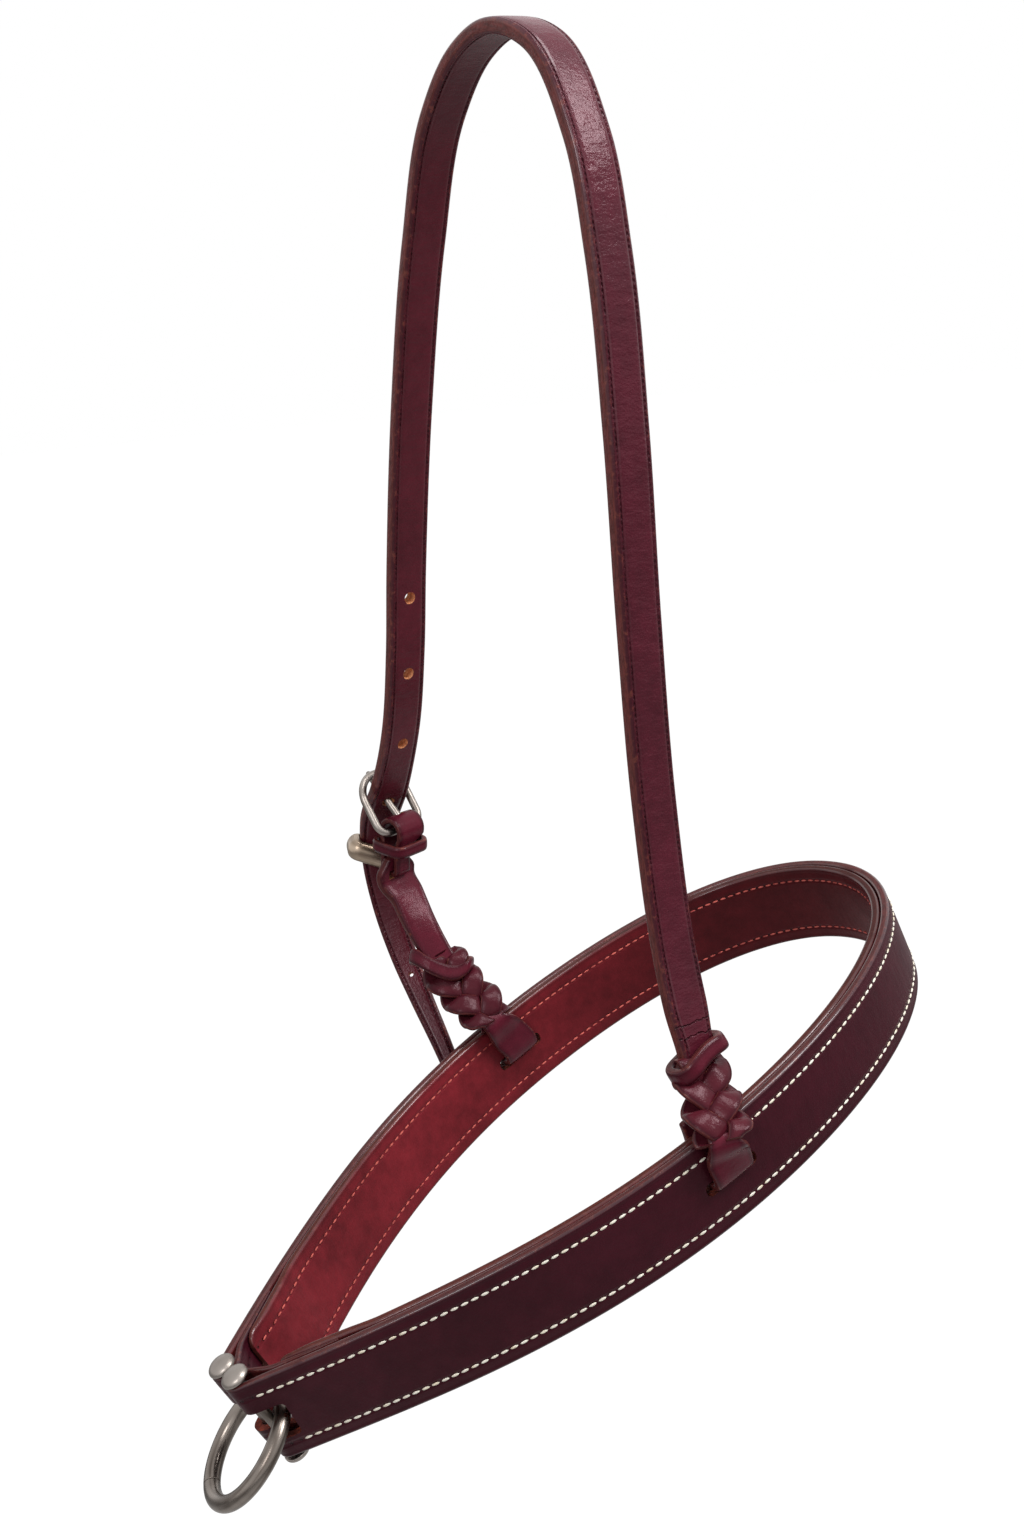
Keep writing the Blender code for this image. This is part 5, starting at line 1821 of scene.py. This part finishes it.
    def make_link(self) -> None:
        """The closed loop of leather round the heel bar and through the hanger's slit."""
        places = []
        for turn in steps(0, math.pi, math.pi / 28):
            places.append((-math.sin(turn) * self.roll, math.cos(turn) * self.roll,
                           -math.sin(turn), math.cos(turn)))
        legs = [(drop, self.leg_away(drop))
                for drop in steps(0, self.link_length, self.link_length / 24)[1:-2]]
        corner = self.link_corner
        places += [(drop, -away, 0, -1) for drop, away in legs]
        for side in (-1, 1):
            turns = steps(0, math.pi / 2, math.pi / 16)
            for turn in turns if side < 0 else turns[::-1]:
                fall, away = math.sin(turn), side * math.cos(turn)
                places.append((self.link_length - corner + fall * corner,
                               side * (self.leg - corner) + away * corner, fall, away))
        places += [(drop, away, 0, 1) for drop, away in reversed(legs)]
        stations = []
        for drop, away, fall, aside in places:
            centre, width = self.link_station(drop, away)
            facing = self.down * fall + self.link_out * aside
            stations.append(Station(centre, self.bar, facing, width, self.link_thickness))
        reach = self.roll + self.link_thickness
        middle = self.heel + self.up * (reach / 2 + self.wire) - self.out * (self.eye_thickness / 2)
        slot = block(middle, (self.bar, self.out, self.up),
                     (self.link_slot_width, 2 * self.tongue_eye, reach), 0, 1)
        self.shop.piece("finished_link", swept(stations, self.form, closed=True),
                        self.shop.finishes.knot, Body.NOSEBAND, ["heel_link"], [slot],
                        self.shop.finishes.raw_light)

    def make_neck_band(self) -> None:
        """The loose band of leather round the link's neck."""
        spare = SEAT_GAP + self.neck_band_thickness / 2
        top = self.neck_band_drop - self.neck_band_width / 2
        middle, link_width = self.link_station(top, 0.0)
        half_outward = self.leg_away(top) + self.link_thickness / 2 + spare + self.neck_band_slack
        half_across = link_width / 2 + spare + self.neck_band_slack
        centre = middle + self.down * (self.neck_band_width / 2)
        stations = loop_stations(centre, self.bar, self.link_out, half_across, half_outward,
                                 [self.neck_band_corner] * 4, self.neck_band_width,
                                 self.neck_band_thickness)
        self.shop.piece("finished_neck_band", swept(stations, self.band_form, closed=True),
                        self.shop.finishes.knot, Body.NOSEBAND, ["neck_band"])

    def make(self) -> None:
        """Build every piece of the buckle."""
        self.make_frame()
        self.make_tongue()
        self.make_link()
        self.make_neck_band()


@dataclass
class Hanger:
    """The short strap from the buckle's link to the far plait, with a slit for the link."""

    shop: Workshop
    buckle: Buckle
    nose: float = 0.0066
    end_width: float = 0.0112
    flare_width: float = 0.0185
    flare_length: float = 0.0150
    nose_width: float = 0.0120
    slit_length: float = 0.0105
    slit_room: float = 0.0010
    slit_corner: float = 0.0005
    rounding: float = 0.0009
    places: tuple[Triple, ...] = (
        (-0.0022, 0.1048, -0.2985), (-0.0018, 0.0986, -0.3077), (0.0006, 0.0864, -0.3241))
    plait_side: Vector = field(default_factory=lambda: Vector((0.85, -0.20, 0.43)))

    def __post_init__(self) -> None:
        """Work out the hanger's middle line."""
        link = self.buckle
        self.route = smooth_route([link.eye - link.down * self.nose, link.eye,
                                   link.eye + link.down * (self.nose / 3), *self.places])

    def width_at(self, distance: float) -> float:
        """The hanger's width: round at its nose, flared at its slit, narrow at the plait.

        Args:
            distance: How far along it.

        Returns:
            The width.
        """
        flare = ease(1 - abs(distance - self.nose) / self.flare_length)
        narrow = ease((distance - self.nose) / (self.route.length - self.nose))
        width = between(STRAP_WIDTH, self.end_width, narrow)
        width += (self.flare_width - STRAP_WIDTH) * flare
        return width + (self.nose_width - self.flare_width) * ease(1 - distance / self.nose)

    def make(self) -> None:
        """Build the hanger and cut its slit."""
        stations = []
        for distance in steps(0, self.route.length, 0.0009):
            turn = ease((distance - self.nose) / (self.route.length - self.nose))
            direction = self.route.direction(distance)
            side = square_to(direction, self.buckle.bar.lerp(self.plait_side, turn))
            stations.append(Station(self.route.point(distance), side, direction.cross(side),
                                    self.width_at(distance), self.buckle.hanger_thickness))
        link = self.buckle
        slit = block(link.eye, (link.bar, link.link_out, link.down),
                     (self.slit_length, 4 * link.hanger_thickness,
                      link.link_thickness + self.slit_room), self.slit_corner, 1)
        self.shop.piece("finished_hanger",
                        swept(rounded_ends(stations, True, False, self.rounding),
                              StrapForm(corner=0.0009, pillow=0.0002, crease_depth=0.00012)),
                        self.shop.finishes.knot, Body.NOSEBAND, ["far_hanger"], [slit],
                        self.shop.finishes.raw_light)


@dataclass
class CrownStrap:
    """The strap over the crown, from the near plait to its tapered, twisted tail."""

    shop: Workshop
    buckle: Buckle
    thickness: float = 0.0052
    pinch_width: float = 0.0128
    pinch_length: float = 0.018
    tail_taper: float = 0.125
    tail_end_width: float = 0.0064
    tail_turn: float = math.radians(30)
    tail_turn_before: float = 0.030
    tail_turn_length: float = 0.075
    holes: int = 3
    hole_radius: float = 0.00225
    hole_pitch: float = 0.0298
    tail_hole_radius: float = 0.0009
    tail_hole_drop: float = 0.0806
    keeper_drop: float = 0.0290
    keeper_slant: float = math.radians(25)
    keeper_thickness: float = 0.0032
    keeper_width: float = 0.0084
    keeper_slack: float = 0.0006
    keeper_corner: float = 0.0007
    keeper_reach: float = 0.0033
    places: tuple[tuple[float, float], ...] = (
        (-0.0632, -0.3120), (-0.0558, -0.2826), (-0.0498, -0.2310), (-0.0480, -0.1720),
        (-0.0478, -0.1150), (-0.0450, -0.0640), (-0.0385, -0.0310), (-0.0215, -0.0040),
        (-0.0010, 0.0026), (0.0150, -0.0018), (0.0338, -0.0180), (0.0520, -0.0555),
        (0.0688, -0.1072), (0.0841, -0.1687), (0.0906, -0.1996), (0.0993, -0.2296),
        (0.1133, -0.2570), (0.1245, -0.2730), (0.1276, -0.2890), (0.1248, -0.3075),
        (0.1160, -0.3280), (0.1052, -0.3440), (0.0942, -0.3585), (0.0822, -0.3760))
    form: StrapForm = field(default_factory=lambda: StrapForm(
        corner=0.0012, pillow=0.00045, crease_at=0.0018, crease_gap=0.0007, crease_depth=0.00034))

    def __post_init__(self) -> None:
        """Work out the strap's middle line and where the tongue goes through it."""
        self.route = smooth_route([(0, y, z) for y, z in self.places])
        self.tongue_at = self.route.nearest(self.buckle.tongue_middle())

    def side(self, distance: float) -> Vector:
        """Across the strap: level over the crown, turning outward along the tail.

        Args:
            distance: How far along it.

        Returns:
            The direction.
        """
        share = ease((distance - self.tongue_at + self.tail_turn_before) / self.tail_turn_length)
        turn = self.tail_turn * share
        return Matrix.Rotation(turn, 3, self.route.direction(distance)) @ Vector((-1, 0, 0))

    def facing(self, distance: float) -> Vector:
        """Away from the horse's head, square to the strap."""
        return self.route.direction(distance).cross(self.side(distance))

    def width_at(self, distance: float) -> float:
        """The strap's width: pinched at the plait, tapered to its tail.

        Args:
            distance: How far along it.

        Returns:
            The width.
        """
        tail = max(0.0, 1 - (self.route.length - distance) / self.tail_taper)
        pinch = ease(1 - distance / self.pinch_length)
        return between(STRAP_WIDTH, self.tail_end_width, tail) + (
            self.pinch_width - STRAP_WIDTH) * pinch

    def punch(self, drop: float, radius: float) -> bmesh.types.BMesh:
        """The space of one adjusting hole, so far down the tail from the tongue's.

        Args:
            drop: How far down.
            radius: Its radius.

        Returns:
            The space.
        """
        distance = self.tongue_at + drop
        centre, side, facing = (self.route.point(distance), self.side(distance),
                                self.facing(distance))
        ends = [Station(centre + facing * reach, side, facing.cross(side), 2 * radius, 2 * radius)
                for reach in (-self.thickness, self.thickness)]
        return swept(ends, WireForm(28))

    def make_strap(self) -> None:
        """The strap itself, with its holes punched."""
        tip = self.route.length
        rounding = self.tail_end_width / 2
        stations = []
        ends = [tip - rounding * (1 - math.sin(turn)) for turn in steps(0, 1.35, 0.15)[1:]]
        for distance in steps(0, tip - rounding, 0.0019) + ends:
            into_tip = max(0.0, distance - (tip - rounding)) / rounding
            width = self.width_at(distance) * math.sqrt(1 - into_tip ** 2)
            stations.append(Station(self.route.point(distance), self.side(distance),
                                    self.facing(distance), width, self.thickness))
        punches = [self.punch(-(index + 1) * self.hole_pitch, self.hole_radius)
                   for index in range(self.holes)]
        punches += [self.punch(self.tail_hole_drop, self.tail_hole_radius),
                    self.buckle.tongue_path()]
        self.shop.piece("finished_crown_strap", swept(stations, self.form),
                        self.shop.finishes.crown, Body.NOSEBAND, ["crown_strap"], punches,
                        self.shop.finishes.raw_light)

    def make_keeper(self) -> None:
        """The half-round metal keeper that hangs askew on the tail."""
        distance, slant = self.tongue_at + self.keeper_drop, self.keeper_slant
        across = (self.side(distance) * math.cos(slant)
                  - self.route.direction(distance) * math.sin(slant))
        spare = self.keeper_slack + self.keeper_thickness / 2
        half_across = (self.width_at(distance) / 2 / math.cos(slant) + spare
                       + self.keeper_reach * math.tan(slant))
        half_outward = self.thickness / 2 + spare + self.keeper_slack
        stations = loop_stations(self.route.point(distance), across, self.facing(distance),
                                 half_across, half_outward, [spare + self.keeper_corner] * 4,
                                 self.keeper_width, self.keeper_thickness)
        self.shop.piece("finished_keeper", swept(stations, HalfRoundForm(), closed=True),
                        self.shop.finishes.nickel, Body.KEEPER, ["tail_keeper"])

    def make(self) -> None:
        """Build the strap and its keeper."""
        self.make_strap()
        self.make_keeper()


# The studio


@dataclass
class Studio:
    """The camera, the soft lamps, the pale floor and the white surroundings."""

    eye: Triple = (-0.32539, -0.45093, -0.06875)
    right: Triple = (0.81020, -0.58020, -0.08331)
    down: Triple = (-0.22467, -0.17611, -0.95839)
    ahead: Triple = (0.54138, 0.79521, -0.27304)
    lens: float = 40.50
    sensor: float = 36.0
    aim: Triple = (0.0, 0.0, -0.22)
    floor_drop: float = 0.75
    floor_glow: float = 1.09
    floor_share: float = 0.93
    ambient: float = 0.30
    lamps: tuple[tuple[str, Triple, float, float], ...] = (
        ("key_softbox", (0.58, -0.66, 0.66), 0.42, 9.5),
        ("top_softbox", (0.14, -0.20, 0.72), 0.40, 5.0),
        ("left_softbox", (-0.85, -0.50, 0.42), 0.36, 3.4))

    def make_camera(self) -> None:
        """The camera at the photograph's viewing angle."""
        camera = added("camera", bpy.data.cameras.new("camera"))
        camera.data.lens = self.lens
        camera.data.sensor_width = self.sensor
        camera.data.clip_start = 0.01
        axes = Matrix((self.right, -Vector(self.down), -Vector(self.ahead))).transposed()
        camera.matrix_world = Matrix.Translation(self.eye) @ axes.to_4x4()
        bpy.context.scene.camera = camera

    def make_lamp(self, name: str, place: Triple, size: float, power: float) -> None:
        """One square softbox, aimed at the noseband.

        Args:
            name: The lamp's name.
            place: Where it stands.
            size: Its width.
            power: Its power in watts.
        """
        data = bpy.data.lights.new(name, "AREA")
        data.size = size
        data.energy = power
        lamp = added(name, data)
        lamp.location = place
        lamp.rotation_euler = (Vector(self.aim) - Vector(place)).to_track_quat("-Z", "Y").to_euler()

    def make_world(self) -> None:
        """White to the camera and in reflections, and a soft even light on everything."""
        world = bpy.data.worlds.new("studio")
        bpy.context.scene.world = world
        graph = Graph(world)
        path = graph.add("ShaderNodeLightPath", output="Is Camera Ray")
        seen = path
        for other in ("Is Glossy Ray", "Is Transmission Ray"):
            seen = graph.math("MAXIMUM", seen, path.sibling(other))
        backdrop = graph.add("ShaderNodeBackground", inputs={"Color": WHITE})
        light = graph.add("ShaderNodeBackground", inputs={"Color": (1.0, 0.99, 0.98, 1.0),
                                                          "Strength": self.ambient})
        mix = graph.add("ShaderNodeMixShader", inputs={0: seen, 1: light, 2: backdrop})
        graph.add_output(mix, "ShaderNodeOutputWorld")

    def make_floor(self) -> None:
        """A pale floor far enough below that the hanging noseband's shadow is soft."""
        shape = bmesh.new()
        bmesh.ops.create_circle(shape, cap_ends=True, segments=96, radius=12.0)
        bmesh.ops.translate(shape, verts=shape.verts, vec=(0, 0, self.aim[2] - self.floor_drop))
        graph = Graph.for_material("pale_floor")
        diffuse = graph.add("ShaderNodeBsdfDiffuse", inputs={"Color": (0.9, 0.9, 0.9, 1.0)})
        glow = graph.add("ShaderNodeEmission", inputs={"Color": WHITE,
                                                       "Strength": self.floor_glow})
        seen = graph.add("ShaderNodeLightPath", output="Is Camera Ray") * self.floor_share
        graph.add_output(graph.add("ShaderNodeMixShader", inputs={0: seen, 1: diffuse, 2: glow}))
        floor = Workshop.plain_object("floor", shape, [graph.owner])

    def make(self) -> None:
        """Set up the whole studio."""
        self.make_camera()
        self.make_world()
        self.make_floor()
        for name, place, size, power in self.lamps:
            self.make_lamp(name, place, size, power)
        bpy.context.scene.view_settings.view_transform = "Standard"


def clear_start_objects() -> None:
    """Remove what the start-up file holds beside the frame."""
    kept = {*frame["nodes"].values(), *frame["bodies"].values()}
    for item in list(bpy.data.objects):
        if item not in kept:
            bpy.data.objects.remove(item)


def main() -> None:
    """Build every sub-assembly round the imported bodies, then the studio."""
    logging.basicConfig(level=logging.INFO, format="%(message)s")
    clear_start_objects()
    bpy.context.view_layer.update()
    shop = Workshop()
    band = Noseband(shop)
    band.make()
    buckle = Buckle(shop)
    buckle.make()
    hanger = Hanger(shop, buckle)
    hanger.make()
    crown = CrownStrap(shop, buckle)
    crown.make()
    Plait(shop, "near", crown.route.point(0), -crown.route.direction(0), (0.0050, 0.0005, 0.0011),
          Vector((1.0, 0.0, 0.0)), -1, 1, band.seat(band.near_slot_at),
          Collar(crown.pinch_width, 0.0004, math.radians(-22), -0.0020)).make()
    end = hanger.route.length
    Plait(shop, "far", hanger.route.point(end), hanger.route.direction(end),
          (0.0027, 0.0062, 0.0059), hanger.plait_side, 1, -1,
          band.seat(band.route.length - band.far_slot_at),
          Collar(hanger.end_width, 0.0034, math.radians(38), 0.0066), head_start=0.0060).make()
    Studio().make()


if __name__ == "__main__":
    main()
